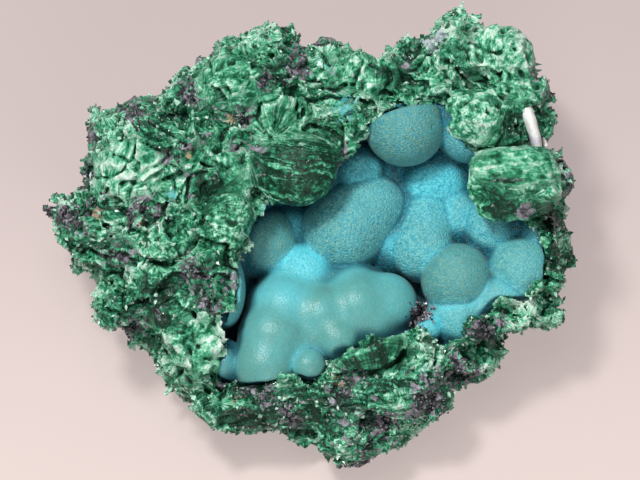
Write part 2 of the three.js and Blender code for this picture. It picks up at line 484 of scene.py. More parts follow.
@dataclass(frozen=True)
class Spray:
    """A grown face of fibres that radiate from one root, crossed by growth rings.

    Args:
        root: where the fibres start, across and up.
        middle: middle of the face, across and up.
        reach: half its width and height.
        shade: -1 for dark to 1 for pale green.
        rings: how strongly the growth rings show, 0 to 1.
    """

    root: Pair
    middle: Pair
    reach: Pair
    shade: float = 0.0
    rings: float = 0.0


GIRTH: list[Pair] = [
    (-33.0, 5.1), (-31.6, 6.2), (-29.4, 7.8), (-29.3, 11.7), (-28.3, 14.7), (-27.4, 17.2), (-23.9, 17.7),
    (-20.2, 19.0), (-17.8, 21.6), (-13.3, 24.2), (-10.7, 25.9), (-7.2, 27.2), (-2.7, 27.6), (-1.3, 25.8),
    (2.9, 26.3), (6.4, 24.4), (9.8, 24.6), (14.0, 25.7), (17.4, 27.7), (21.5, 29.1), (23.0, 27.2),
    (27.0, 25.7), (29.3, 23.0), (29.5, 19.2), (31.3, 16.5), (30.7, 13.0), (31.6, 9.1), (32.7, 5.7),
    (32.1, 3.3), (32.9, 0.0), (32.8, -5.2), (32.0, -8.6), (27.4, -12.0), (24.4, -14.6), (22.6, -15.2),
    (22.0, -17.0), (19.9, -18.5), (17.8, -19.5), (17.0, -21.6), (14.3, -24.7), (10.3, -27.3), (5.2, -29.3),
    (2.6, -28.0), (-0.5, -25.4), (-4.8, -25.0), (-11.1, -23.5), (-13.8, -21.5), (-18.3, -19.9),
    (-20.0, -17.3), (-21.3, -13.7), (-24.2, -11.1), (-27.3, -9.9), (-28.0, -6.0), (-31.5, -1.8), (-33.2, 2.0),
]  # fmt: skip

VUG_RIM: list[Pair] = [
    (-9.0, 0.0), (-8.4, 2.2), (-7.2, 4.0), (-5.0, 6.4), (-1.3, 8.0), (3.0, 10.0), (4.4, 12.1), (6.2, 14.6),
    (8.8, 16.8), (11.7, 18.0), (16.5, 18.3), (18.9, 16.9), (20.6, 14.0), (22.4, 10.8), (23.6, 7.2),
    (26.5, 5.0), (30.2, 2.8), (31.3, 0.0), (31.2, -5.2), (28.8, -7.8), (24.6, -8.2), (22.9, -9.8),
    (21.7, -12.0), (20.2, -13.5), (16.9, -13.9), (13.6, -12.0), (11.8, -12.3), (7.8, -13.9), (3.4, -15.4),
    (1.3, -18.4), (-1.8, -18.3), (-6.5, -19.2), (-10.1, -19.1), (-12.5, -17.8), (-12.0, -13.7),
    (-11.4, -10.4), (-10.4, -7.8), (-9.7, -5.2), (-9.2, -2.6),
]  # fmt: skip


@dataclass(frozen=True)
class StoneSize:
    """Driving dimensions of the stone, millimetres."""

    rim_reach: float = 12.5
    back_fall: float = 0.25
    base_overcut: float = 5.5
    vug_middle: Pair = (7.0, -1.0)
    vug_mouth: float = 14.0
    vug_depth: float = 15.3
    skin: float = 0.7
    lip: float = 2.6
    lip_overhang: float = 0.9


class Stone:
    """The distance fields of the stone's parts, shared by the pieces that show them."""

    LUMPS = (
        Lump((-19.5, 9.5, -2.6), (8.5, 7.4, 4.6)),
        Lump((-28.4, 2.6, -3.0), (4.2, 4.8, 4.6)),
        Lump((-17.8, -3.6, -2.4), (6.5, 6.6, 4.4)),
        Lump((-24.4, -8.2, -2.2), (3.4, 2.9, 4.0)),
        Lump((-14.8, -14.6, -1.8), (4.0, 4.8, 4.0)),
        Lump((-12.2, 0.6, -1.2), (4.0, 4.0, 3.4)),
        Lump((-1.7, 9.0, -0.3), (5.2, 4.7, 3.6), 1.0),
        Lump((-10.4, 3.2, 0.2), (3.3, 3.5, 3.0), 0.85),
        Lump((-9.2, 8.8, 0.2), (3.0, 3.0, 2.6)),
        Lump((-6.0, 19.0, -1.6), (6.6, 5.6, 4.0)),
        Lump((8.2, 20.4, -1.4), (5.6, 3.8, 3.2)),
        Lump((5.4, 14.6, -2.0), (5.2, 2.4, 2.0)),
        Lump((24.8, 23.6, -2.0), (4.6, 4.4, 5.0), 0.5),
        Lump((18.6, 23.6, -1.4), (2.6, 4.6, 3.6)),
        Lump((25.6, 18.6, -0.6), (5.0, 3.2, 3.6)),
        Lump((21.4, 15.8, -0.8), (4.4, 4.4, 3.4), 0.6),
        Lump((29.8, 15.8, -3.0), (2.1, 2.6, 3.0)),
        Lump((31.4, -3.0, -2.0), (1.4, 7.0, 4.0)),
        Lump((27.4, -9.8, -1.8), (4.4, 2.6, 3.2)),
        Lump((20.6, -16.4, -2.4), (4.2, 2.6, 5.0)),
        Lump((12.6, -19.0, -2.4), (6.0, 4.6, 4.6)),
        Lump((6.0, -25.0, -2.5), (4.4, 3.6, 4.6)),
        Lump((-7.5, -21.4, -2.4), (8.0, 2.8, 4.6)),
    )
    DOMES = (
        Dome((12.3, 14.8, 5.0), 5.3, 1.0, 1),
        Dome((21.2, 15.4, 3.2), 5.6, 0.6, 2),
        Dome((4.2, 1.0, 1.2), 5.8, 0.8, 3),
        Dome((6.5, 3.2, 1.1), 5.0, 0.72, 3),
        Dome((8.7, 4.6, 1.2), 3.8, 0.65, 3),
        Dome((6.2, 8.8, 0.4), 3.9, 0.4, 5),
        Dome((1.0, 8.0, 0.0), 4.0, 0.3, 18),
        Dome((16.2, 7.8, -2.6), 6.2, 0.05, 6),
        Dome((11.2, 9.6, -2.8), 4.8, 0.1, 24),
        Dome((10.9, -0.4, -0.6), 4.7, 0.4, 7),
        Dome((12.2, 3.6, -1.0), 3.8, 0.3, 7),
        Dome((14.8, -1.2, 2.0), 4.5, 0.65, 8),
        Dome((15.4, 2.6, 0.6), 3.9, 0.5, 8),
        Dome((19.2, 2.6, -0.2), 4.4, 0.5, 9),
        Dome((24.2, 1.6, 1.2), 4.8, 0.55, 10),
        Dome((29.2, 1.0, 3.4), 3.0, 0.6, 11),
        Dome((19.1, -5.2, 4.4), 4.8, 1.0, 12, 0.3),
        Dome((27.6, -4.2, 3.4), 5.2, 0.8, 13, 0.3),
        Dome((19.4, -9.6, 3.8), 4.6, 0.6, 14, 0.5),
        Dome((24.6, -8.4, 4.4), 4.4, 0.7, 14, 0.5),
        Dome((15.3, -11.5, 6.6), 1.7, 0.3, 15, 0.6),
        Dome((-5.9, -0.6, 1.2), 4.9, 1.0, 16, 0.3),
        Dome((-2.2, 0.6, -0.4), 4.2, 0.5, 17),
        Dome((-0.8, -5.4, 0.4), 6.2, 0.2, 20, 0.6),
        Dome((-3.2, -9.4, 4.4), 5.3, 0.55, 20, 1.0),
        Dome((-4.6, -12.6, 6.6), 4.8, 0.9, 20, 1.0),
        Dome((-5.7, -16.2, 7.6), 4.3, 0.95, 20, 1.0),
        Dome((1.4, -9.9, 5.7), 4.3, 0.9, 20, 1.0),
        Dome((3.6, -12.9, 7.3), 3.4, 0.95, 20, 1.0),
        Dome((5.4, -7.4, 2.4), 4.9, 0.45, 20, 0.9),
        Dome((6.2, -8.7, 5.3), 4.4, 0.9, 20, 1.0),
        Dome((9.8, -8.4, 4.2), 4.2, 0.75, 20, 1.0),
        Dome((8.0, -11.4, 5.4), 4.0, 0.9, 20, 1.0),
        Dome((-0.8, -13.6, 5.6), 4.2, 0.85, 20, 1.0),
        Dome((-0.2, -16.2, 9.3), 2.3, 0.95, 21, 1.0),
        Dome((-11.4, -15.8, 6.6), 3.2, 0.8, 23, 0.8),
    )
    WALL_LOBE = Lump((-10.7, -6.4, 7.6), (2.4, 4.9, 4.8))
    CHUNK = (
        (21.7, 11.4, 9.0), (26.4, 12.0, 9.4), (30.6, 11.6, 8.4), (31.8, 9.2, 7.6), (20.5, 9.2, 11.0),
        (22.8, 8.6, 12.4), (25.6, 6.9, 13.4), (28.4, 6.9, 13.2), (30.8, 6.0, 12.0), (32.4, 6.4, 9.4),
        (20.4, 6.6, 10.4), (22.0, 3.2, 9.8), (24.7, 2.5, 10.0), (28.0, 2.6, 9.8), (30.8, 3.8, 9.2),
        (23.6, 4.4, 5.5), (28.5, 4.2, 4.5), (31.2, 6.0, 3.5), (24.0, 9.6, 4.0), (30.0, 10.4, 3.0),
    )  # fmt: skip
    FLAKE_EDGE = (
        (2.5, -15.5, 12.6), (6.1, -14.6, 12.9), (8.5, -14.0, 12.8), (10.1, -12.6, 12.3), (12.2, -11.7, 11.8),
        (12.7, -13.1, 11.4), (11.3, -15.2, 11.6), (8.7, -16.6, 11.8), (4.4, -16.8, 11.9),
    )  # fmt: skip
    FLAKE_THICKNESS = 1.3

    def __init__(self, size: StoneSize, face: FaceFrame) -> None:
        """Keeps the stone's dimensions and smooths its outlines.

        Args:
            size: driving dimensions.
            face: frame that looks into the vug.
        """
        self.size = size
        self.face = face
        self.girth = Outline(GIRTH)
        self.vug_rim = Outline(VUG_RIM, size.vug_middle)

    def rim_reach(self, v: np.ndarray) -> np.ndarray:
        """How far the rim stands out of the girth plane at a place up the face."""
        return self.size.rim_reach - self.size.back_fall * np.maximum(v, 0)

    def rim_surface(self, u: float, v: float) -> float:
        """How far out the rim surface lies at a place on the face."""
        share = min(float(self.girth.share(np.array([u]), np.array([v]))[0]), 0.98)
        return float(self.rim_reach(np.array(v))) * (1 - share**4) ** (1 / 2.4)

    def nodule(self, at: Lattice) -> np.ndarray:
        """Distance from the whole rough nodule, before lumps and vug.

        Args:
            at: the lattice.

        Returns:
            Distances, negative inside.
        """
        turn = math.radians(self.face.lean)
        u, v = np.broadcast_arrays(at.u[..., 0], at.v[..., 0])
        share = self.girth.share(u, v)[..., None]
        rim = self.rim_reach(at.v)
        base = (self.face.height + math.sin(turn) * at.v) / math.cos(turn) + self.size.base_overcut
        base = np.maximum(base, 3)
        out = at.w > 0
        rise = np.where(out, at.w / rim, -at.w / base)
        power = np.where(out, 2.4, 2.2).astype(np.float32)
        full = np.where(out, share**4.0, share**2.4) + np.power(rise, power)
        full = np.where(out, full ** (1 / 3.0), full ** (1 / 2.3)) - 1
        return self._distance(full.astype(np.float32), at)

    def vug(self, at: Lattice) -> np.ndarray:
        """Distance from the open hollow, before the domes grow in it.

        Args:
            at: the lattice.

        Returns:
            Distances, negative in the open hollow.
        """
        u, v = np.broadcast_arrays(at.u[..., 0], at.v[..., 0])
        share = self.vug_rim.share(u, v)[..., None]
        depth = np.maximum((self.size.vug_mouth - at.w) / self.size.vug_depth, 0)
        full = (share**6 + depth**3) ** 0.25 - 1
        return self._distance(full.astype(np.float32), at)

    def skin(self, at: Lattice) -> tuple[np.ndarray, np.ndarray]:
        """Thickness of the lining over the lattice, and how far a place is below the vug's broken lip.

        Args:
            at: the lattice.

        Returns:
            The thickness, negative where malachite overhangs the vug, and the depth share from 0 at the
            lip to 1 in the lined vug.
        """
        u, v = np.broadcast_arrays(at.u[..., 0], at.v[..., 0])
        share = np.minimum(self.girth.share(u, v), 0.98)
        rim = self.rim_reach(at.v[..., 0]) * (1 - share**4) ** (1 / 2.4)
        flat = np.stack([u.ravel(), v.ravel(), np.zeros(u.size)], -1).astype(np.float32)
        ragged = layered_noise(flat, 3.2, 3, 61).reshape(u.shape)
        limit = (rim - self.size.lip + 1.6 * ragged)[..., None]
        deep = np.clip((limit - at.w) / 1.4 + 0.5, 0, 1)
        deep = deep * deep * (3 - 2 * deep)
        overhang = self.size.lip_overhang * (1 + 0.8 * ragged[..., None])
        return (self.size.skin * deep - overhang * (1 - deep)).astype(np.float32), deep

    @staticmethod
    def _distance(full: np.ndarray, at: Lattice) -> np.ndarray:
        """Scales a fullness field, 0 on its surface, to a distance.

        Args:
            full: values that grow outwards.
            at: the lattice.

        Returns:
            Distances in millimetres.
        """
        gx, gy, gz = np.gradient(full, at.step)
        slope = np.sqrt(gx * gx + gy * gy + gz * gz + 1e-6)
        return np.clip(full / slope, -FAR, FAR).astype(np.float32)

    def add_lumps(self, at: Lattice, rock: np.ndarray) -> tuple[np.ndarray, np.ndarray]:
        """Grows the lumps, the chunk and the flake onto the rock.

        Args:
            at: the lattice.
            rock: distance field, changed in place.

        Returns:
            The joined distance field, and how calm the surface is, 0 to 1.
        """
        calm = np.zeros(at.shape, np.float32)
        for lump in self.LUMPS:
            u, v, above = lump.middle
            place = (u, v, self.rim_surface(u, v) + above)
            cut = at.around(place, tuple(r + 3 for r in lump.radii))
            if 0 in rock[cut].shape:
                continue
            shape = ellipsoid_distance(at.offsets(cut, place), lump.radii)
            near = shape < rock[cut] + 0.5
            calm[cut] = np.where(near & (shape < 2), np.maximum(calm[cut], lump.calm), calm[cut])
            rock[cut] = smooth_union(rock[cut], shape, 1.4)
        for corners, round_off, calmness in (
            (self.CHUNK, 0.3, 0.95),
            (tuple(self._flake_corners()), 0.2, 0.85),
        ):
            shape, cut = self._hull(at, corners)
            shape = shape - round_off
            near = shape < rock[cut]
            calm[cut] = np.where(near & (shape < 1.5), calmness, calm[cut])
            rock[cut] = smooth_union(rock[cut], shape, 0.4)
        return rock, calm

    def _flake_corners(self) -> list[Triple]:
        """Corners of both faces of the thin flake."""
        return [(u, v, w - d) for u, v, w in self.FLAKE_EDGE for d in (0.0, self.FLAKE_THICKNESS)]

    @staticmethod
    def _hull(at: Lattice, corners: tuple[Triple, ...]) -> tuple[np.ndarray, tuple[slice, ...]]:
        """Distance from the convex hull of some corners, and the box of the lattice it covers.

        Args:
            at: the lattice.
            corners: points whose hull is wanted.

        Returns:
            Distances in the box, and the slices of the box.
        """
        bm = bmesh.new()
        for corner in corners:
            bm.verts.new(corner)
        bmesh.ops.convex_hull(bm, input=bm.verts)
        bm.normal_update()
        planes = {
            (round(f.normal.x, 3), round(f.normal.y, 3), round(f.normal.z, 3)): f.normal.dot(f.verts[0].co)
            for f in bm.faces
        }
        bm.free()
        p = np.array(corners)
        middle = (p.min(0) + p.max(0)) / 2
        cut = at.around(tuple(middle), tuple((p.max(0) - p.min(0)) / 2 + 2.5))
        x, y, z = at.offsets(cut, (0.0, 0.0, 0.0))
        shape = np.full(np.broadcast_shapes(x.shape, y.shape, z.shape), -99.0, np.float32)
        for (a, b, c), reach in planes.items():
            shape = np.maximum(shape, a * x + b * y + c * z - reach)
        return shape, cut

    def domes(self, at: Lattice) -> dict[str, np.ndarray]:
        """Distance from the domes, and what their finish needs.

        Args:
            at: the lattice.

        Returns:
            Fields "distance", "second" (to the next cluster), "weathered" and "silk".
        """
        fields = {key: np.full(at.shape, FAR, np.float32) for key in ("distance", "second")}
        fields.update({key: np.zeros(at.shape, np.float32) for key in ("weathered", "silk")})
        for number in sorted({d.cluster for d in self.DOMES}):
            members = [d for d in self.DOMES if d.cluster == number]
            low = np.min([np.array(d.place) - d.radius for d in members], 0) - 4
            high = np.max([np.array(d.place) + d.radius for d in members], 0) + 4
            box = at.around(tuple((low + high) / 2), tuple((high - low) / 2))
            joined = None
            for dome in members:
                x, y, z = at.offsets(box, dome.place)
                shape = (np.sqrt(x * x + y * y + z * z) - dome.radius).astype(np.float32)
                if joined is None:
                    joined, weathered = shape, np.full(shape.shape, dome.weathered, np.float32)
                    silk = np.full(shape.shape, dome.silk, np.float32)
                    continue
                share = np.clip(0.5 + (joined - shape) / 2.4, 0, 1)
                weathered = weathered * (1 - share) + dome.weathered * share
                silk = silk * (1 - share) + dome.silk * share
                joined = smooth_union(joined, shape, 1.8 - 0.7 * dome.silk)
            self._lay(fields, box, joined, weathered, silk)
        lobe = self.WALL_LOBE
        box = at.around(lobe.middle, tuple(r + 4 for r in lobe.radii))
        shape = ellipsoid_distance(at.offsets(box, lobe.middle), lobe.radii)
        weathered, silk = (np.full(shape.shape, value, np.float32) for value in (0.7, 0.5))
        self._lay(fields, box, shape, weathered, silk)
        return fields

    @staticmethod
    def _lay(
        fields: dict[str, np.ndarray],
        box: tuple[slice, ...],
        shape: np.ndarray,
        weathered: np.ndarray,
        silk: np.ndarray,
    ) -> None:
        """Adds one cluster of domes to the fields.

        Args:
            fields: what Stone.domes gives back, changed in place.
            box: the part of the lattice that the cluster covers.
            shape: distance from the cluster.
            weathered: how weathered the cluster is.
            silk: how silky it is.
        """
        first, second = fields["distance"][box], fields["second"][box]
        near = shape < first
        fields["second"][box] = np.where(near, first, np.minimum(second, shape))
        for key, values in (("distance", shape), ("weathered", weathered), ("silk", silk)):
            fields[key][box] = np.where(near, values, fields[key][box])


@dataclass(frozen=True)
class Relief:
    """How the fresh broken surface is roughened, heights and sizes in millimetres."""

    block_size: float = 4.0
    block_tilt: float = 0.6
    block_step: float = 0.6
    block_bowl: float = 0.06
    chip_size: float = 1.9
    chip_tilt: float = 0.34
    chip_step: float = 0.14
    chip_bowl: float = 0.12
    fan_size: float = 4.2
    fibre: float = 0.1
    swell_size: float = 6.5
    swell: float = 0.8
    layer: float = 0.45
    layer_pitch: float = 1.5
    crack: float = 0.9
    crack_width: float = 0.55
    band: float = 2.4

    def roughen(self, at: Lattice, rock: np.ndarray, quiet: np.ndarray | None = None) -> np.ndarray:
        """Breaks the surface of a distance field into tilted, fibrous blocks and chips.

        Args:
            at: the lattice.
            rock: distance field to roughen, changed in place.
            quiet: where the surface stays smooth, 0 to 1.

        Returns:
            The roughened field.
        """
        index = np.nonzero(np.abs(rock) < self.band)
        p = at.points(index)
        slope = np.stack([g[index] for g in np.gradient(rock, at.step)], -1)
        slope /= np.linalg.norm(slope, axis=1, keepdims=True) + 1e-6
        p = (p - rock[index][:, None] * slope).astype(np.float32)
        loud = 1 - quiet[index] if quiet is not None else np.ones(len(p), np.float32)
        lift = self.swell * layered_noise(p, self.swell_size, 2, 3)
        warp = p + 0.6 * np.stack([layered_noise(p, 2.4, 1, s) for s in (21, 22, 23)], -1)
        blocks = scattered_cells(warp, self.block_size, 31)
        chips = scattered_cells(warp, self.chip_size, 32)
        lift += fracture(blocks, self.block_tilt, self.block_step, self.block_bowl, 41) - 0.3
        lift += fracture(chips, self.chip_tilt, self.chip_step, self.chip_bowl, 42) - 0.12
        lift -= self.crack * cracks(blocks, self.crack_width, 44)
        fans = scattered_cells(warp, self.fan_size, 33)
        ray = fans.offset / (np.linalg.norm(fans.offset, axis=1, keepdims=True) + 1e-3)
        shift = cell_values(fans.number, 3, 43) * 20
        lift += self.fibre * layered_noise(ray * 5.5 + shift, 1.0, 2, 81)
        layered, layer = front_layers(p)
        ledge = layered_noise(np.stack([layer / self.layer_pitch, 0 * layer, 0 * layer], -1), 1.0, 2, 91)
        lift = lift * (1 - 0.5 * layered) + self.layer * layered * ledge
        rock[index] -= lift * loud
        return rock


def front_layers(points: np.ndarray) -> tuple[np.ndarray, np.ndarray]:
    """Where the front side shows its layers, 0 to 1, and the height across the layers in millimetres.

    Args:
        points: (N, 3) places in the face frame.

    Returns:
        The share of layering and the height, (N,) each.
    """
    u, v, w = points[:, 0], points[:, 1], points[:, 2]
    edge = -15.5 + 0.12 * u
    layered = np.clip((edge - v) / 2.5, 0, 1) * np.clip((18 - u) / 4, 0, 1)
    bend = layered_noise(points, 7.0, 2, 95)
    return layered.astype(np.float32), (0.75 * v + 0.66 * w + 1.2 * bend).astype(np.float32)


# ---------------------------------------------------------------- meshes
def blurred(values: np.ndarray, reach: int) -> np.ndarray:
    """Returns a running mean of a lattice of values over a cube of 2 * reach + 1 samples a side.

    Args:
        values: one value for each lattice point.
        reach: how many samples it reaches each way.

    Returns:
        Values on the same lattice.
    """
    for axis in range(3):
        padded = np.pad(values, [(reach + 1, reach) if k == axis else (0, 0) for k in range(3)], mode="edge")
        total = np.cumsum(padded, axis=axis, dtype=np.float32)
        n = values.shape[axis]
        high = np.take(total, range(2 * reach + 1, 2 * reach + 1 + n), axis=axis)
        low = np.take(total, range(0, n), axis=axis)
        values = (high - low) / (2 * reach + 1)
    return values


@dataclass
class Surface:
    """A triangle mesh in the face frame with values at its vertices.

    Args:
        points: vertices, millimetres.
        faces: triangles.
        facts: values at the vertices, by name, (N,) numbers or (N, 3) vectors.
    """

    points: np.ndarray
    faces: np.ndarray
    facts: dict[str, np.ndarray] = field(default_factory=dict)

    def largest_part(self) -> "Surface":
        """Returns the surface without its loose crumbs.

        Returns:
            The largest connected part, with its facts.
        """
        label = np.arange(len(self.points))
        while True:
            low = label[self.faces].min(1)
            new = label.copy()
            for k in range(3):
                np.minimum.at(new, self.faces[:, k], low)
            new = new[new]
            if np.array_equal(new, label):
                break
            label = new
        names, counts = np.unique(label, return_counts=True)
        return self.part(label[self.faces[:, 0]] == names[counts.argmax()])

    def part(self, chosen: np.ndarray) -> "Surface":
        """Returns the part with the chosen triangles.

        Args:
            chosen: true for each triangle to keep.

        Returns:
            The chosen triangles and only the vertices that they use.
        """
        faces = self.faces[chosen]
        used = np.zeros(len(self.points), bool)
        used[faces.ravel()] = True
        number = (np.cumsum(used) - 1).astype(np.int32)
        facts = {key: values[used] for key, values in self.facts.items()}
        return Surface(self.points[used], number[faces], facts)

    def normals(self) -> np.ndarray:
        """Returns the outward direction at each vertex.

        Returns:
            (N, 3) unit vectors.
        """
        a, b, c = (self.points[self.faces[:, k]] for k in range(3))
        across = np.cross(b - a, c - a)
        out = np.zeros_like(self.points)
        for k in range(3):
            np.add.at(out, self.faces[:, k], across)
        return out / (np.linalg.norm(out, axis=1, keepdims=True) + 1e-9)

    def to_object(self, name: str, face: FaceFrame, smooth: bool = True) -> bpy.types.Object:
        """Makes a mesh object, linked to the scene.

        Args:
            name: the object's name.
            face: the frame the vertices are in.
            smooth: whether the triangles are shaded as one round surface.

        Returns:
            The new object.
        """
        mesh = bpy.data.meshes.new(name)
        count = len(self.faces)
        mesh.vertices.add(len(self.points))
        mesh.vertices.foreach_set("co", face.to_row(self.points).astype(np.float32).ravel())
        mesh.loops.add(count * 3)
        mesh.loops.foreach_set("vertex_index", self.faces.astype(np.int32).ravel())
        mesh.polygons.add(count)
        mesh.polygons.foreach_set("loop_start", np.arange(0, count * 3, 3, dtype=np.int32))
        mesh.polygons.foreach_set("use_smooth", np.full(count, smooth))
        mesh.update(calc_edges=True)
        mesh.validate()
        for key, values in self.facts.items():
            vector = values.ndim == 2
            attribute = mesh.attributes.new(key, "FLOAT_VECTOR" if vector else "FLOAT", "POINT")
            attribute.data.foreach_set("vector" if vector else "value", values.astype(np.float32).ravel())
        piece = bpy.data.objects.new(name, mesh)
        bpy.context.scene.collection.objects.link(piece)
        return piece


def settle(piece: bpy.types.Object, material: bpy.types.Material) -> None:
    """Gives a piece its material and ties it to the specimen's frame.

    Args:
        piece: the object.
        material: what it is made of.
    """
    piece.data.materials.append(material)
    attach(piece, "root")
    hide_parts("specimen")
    log.info("%s: %d triangles", piece.name, len(piece.data.polygons))


# ---------------------------------------------------------------- minerals on the broken surface
PATCHES = (
    Patch(Mineral.OXIDE, (-17.3, 11.0), 2.8),
    Patch(Mineral.OXIDE, (-21.0, 4.5), 3.6),
    Patch(Mineral.OXIDE, (-6.2, 20.5), 1.6),
    Patch(Mineral.OXIDE, (-1.6, 23.8), 3.0),
    Patch(Mineral.OXIDE, (-9.0, 16.6), 2.4),
    Patch(Mineral.OXIDE, (-15.4, 19.0), 1.6),
    Patch(Mineral.OXIDE, (-22.5, 16.4), 2.2),
    Patch(Mineral.OXIDE, (-28.4, 13.8), 1.8),
    Patch(Mineral.OXIDE, (-28.8, 8.7), 2.2),
    Patch(Mineral.OXIDE, (-26.6, 7.2), 1.8),
    Patch(Mineral.OXIDE, (-31.4, 3.0), 2.4),
    Patch(Mineral.OXIDE, (-24.6, -1.6), 2.6),
    Patch(Mineral.OXIDE, (-23.0, -11.0), 2.0),
    Patch(Mineral.OXIDE, (-14.6, -4.4), 2.6),
    Patch(Mineral.OXIDE, (-16.4, -12.4), 1.6),
    Patch(Mineral.OXIDE, (14.8, -20.6), 3.4),
    Patch(Mineral.OXIDE, (19.8, -17.0), 3.2),
    Patch(Mineral.OXIDE, (22.6, -12.0), 2.4),
    Patch(Mineral.OXIDE, (6.8, -27.2), 2.8),
    Patch(Mineral.OXIDE, (4.0, -19.0), 2.0),
    Patch(Mineral.OXIDE, (-2.4, -21.6), 2.2),
    Patch(Mineral.OXIDE, (9.6, -23.6), 2.4),
    Patch(Mineral.OXIDE, (-12.9, -8.2), 2.0),
    Patch(Mineral.OXIDE, (-6.8, 11.6), 1.6),
    Patch(Mineral.OXIDE, (10.6, 20.2), 1.2),
    Patch(Mineral.OXIDE, (21.4, 20.8), 1.8),
    Patch(Mineral.TAN, (-15.4, 10.8), 0.8),
    Patch(Mineral.TAN, (-10.0, 15.6), 0.7),
    Patch(Mineral.TAN, (-27.3, 3.4), 0.8),
    Patch(Mineral.TAN, (-21.6, 2.2), 1.0),
    Patch(Mineral.TAN, (3.6, -17.9), 1.0),
    Patch(Mineral.TAN, (-9.6, -20.2), 0.8),
    Patch(Mineral.TURQUOISE, (2.1, 22.8), 1.6),
    Patch(Mineral.TURQUOISE, (4.8, 17.4), 1.9),
    Patch(Mineral.TURQUOISE, (-5.4, 3.4), 1.2),
    Patch(Mineral.TURQUOISE, (-17.6, 5.6), 1.0),
    Patch(Mineral.TURQUOISE, (11.2, -17.0), 1.5),
    Patch(Mineral.TURQUOISE, (14.4, -16.2), 1.3),
    Patch(Mineral.MINT, (27.6, -8.8), 3.0),
    Patch(Mineral.MINT, (-23.6, 9.4), 3.6),
    Patch(Mineral.MINT, (-6.4, 12.9), 1.3),
    Patch(Mineral.MINT, (22.0, 14.0), 2.0),
    Patch(Mineral.MINT, (-13.0, -13.0), 2.6),
    Patch(Mineral.MINT, (7.4, 17.6), 1.6),
    Patch(Mineral.MINT, (17.0, 27.0), 2.2),
    Patch(Mineral.MINT, (4.0, -25.0), 2.0),
    # Deep-green patches: dark green malachite, and painted shade where a face turns away from the light.
    Patch(Mineral.DEEP, (-13.4, 6.6), 3.0),
    Patch(Mineral.DEEP, (26.0, 14.4), 2.0),
    Patch(Mineral.DEEP, (31.6, -3.0), 4.0),
    Patch(Mineral.DEEP, (31.8, 1.8), 2.2),
    # The chunk's front face: painted shade, darker because it faces down, away from the light.
    Patch(Mineral.DEEP, (24.0, 5.2), 3.0),
    Patch(Mineral.DEEP, (28.0, 4.4), 2.6),
    Patch(Mineral.DEEP, (31.0, 4.0), 1.8),
    Patch(Mineral.OXIDE, (27.6, 4.0), 1.3),
    # The stone's front side: painted shade where it faces down, partly real dark layered malachite.
    Patch(Mineral.DEEP, (0.5, -20.5), 5.0),
    Patch(Mineral.DEEP, (8.0, -19.6), 4.4),
    Patch(Mineral.DEEP, (-20.0, 14.0), 2.6),
    Patch(Mineral.DEEP, (-4.0, 21.6), 2.6),
    Patch(Mineral.DEEP, (12.0, 22.0), 2.6),
    Patch(Mineral.DEEP, (-8.0, -22.4), 5.0),
    Patch(Mineral.DEEP, (24.0, -12.6), 3.0),
    Patch(Mineral.DEEP, (-18.0, -8.0), 3.4),
    Patch(Mineral.PALE, (15.6, 26.0), 1.9),
    Patch(Mineral.PALE, (-9.6, 12.9), 1.0),
)

SPRAYS = (
    Spray((-1.2, 12.4), (-1.5, 8.5), (5.7, 4.9), -0.8, 1.0),
    Spray((-10.4, 5.4), (-10.2, 2.7), (3.4, 3.7), 0.1, 0.6),
    Spray((27.8, 17.4), (24.6, 20.0), (4.8, 2.4), 0.1, 0.2),
    Spray((22.8, 13.2), (20.4, 16.2), (4.2, 3.8), 0.15, 0.3),
    Spray((24.4, 20.4), (24.8, 24.4), (5.4, 3.8), 0.4, 0.0),
    # The chunk's top face: lighter as painted light, because it faces up towards the light; with growth
    # rings.
    Spray((26.4, -12.0), (26.8, 9.6), (6.2, 2.6), 0.25, 0.5),
    Spray((9.0, -21.0), (7.8, -14.4), (5.4, 2.6), -0.55, 0.4),
    Spray((-26.4, 5.4), (-23.4, 9.4), (4.6, 4.2), 0.2, 0.0),
    Spray((-13.6, 17.6), (-10.4, 20.2), (4.4, 3.6), 0.05, 0.0),
    Spray((-4.6, 13.0), (-4.0, 15.8), (4.2, 3.4), 0.0, 0.2),
    Spray((8.4, 25.4), (7.2, 21.8), (4.8, 3.2), 0.1, 0.3),
    Spray((-17.6, -16.6), (-14.8, -13.6), (3.6, 4.4), 0.1, 0.2),
    Spray((-12.4, 13.4), (-12.6, 9.6), (3.8, 3.4), -0.1, 0.2),
)


def patch_strength(points: np.ndarray, mineral: Mineral) -> np.ndarray:
    """How much of a mineral shows at face-frame points, 0 to 1, with ragged edges.

    Args:
        points: (N, 3) places.
        mineral: which mineral.

    Returns:
        (N,) strengths.
    """
    ragged = 1.1 * layered_noise(points, 3.4, 4, 51 + list(Mineral).index(mineral))
    total = np.zeros(len(points), np.float32)
    for patch in PATCHES:
        if patch.mineral is mineral:
            away = np.hypot(points[:, 0] - patch.place[0], points[:, 1] - patch.place[1]) / patch.radius
            total = np.maximum(total, np.clip(0.9 * (1.25 + ragged - away), 0, 1))
    return total


def grown_faces(points: np.ndarray, roots_out: list[float]) -> dict[str, np.ndarray]:
    """Facts about the grown faces of fibres.

    Args:
        points: (N, 3) face-frame points.
        roots_out: how far out of the girth plane each spray's root lies.

    Returns:
        Facts "spray" (vector from the root), "grown", "rings" and "shade".
    """
    n = len(points)
    spray, grown = np.zeros((n, 3), np.float32), np.zeros(n, np.float32)
    rings, shade = np.zeros(n, np.float32), np.zeros(n, np.float32)
    ragged = 0.25 * layered_noise(points, 2.0, 2, 57)
    for face, out in zip(SPRAYS, roots_out):
        away = np.hypot(
            (points[:, 0] - face.middle[0]) / face.reach[0], (points[:, 1] - face.middle[1]) / face.reach[1]
        )
        share = np.clip(5 * (1.08 + ragged - away), 0, 1) * (points[:, 2] > 1)
        best = share > grown
        spray[best] = (points - np.array((*face.root, out), np.float32))[best]
        grown[best] = share[best]
        rings[best] = face.rings * share[best]
        shade[best] = face.shade * share[best]
    return {"spray": spray, "grown": grown, "rings": rings, "shade": shade}


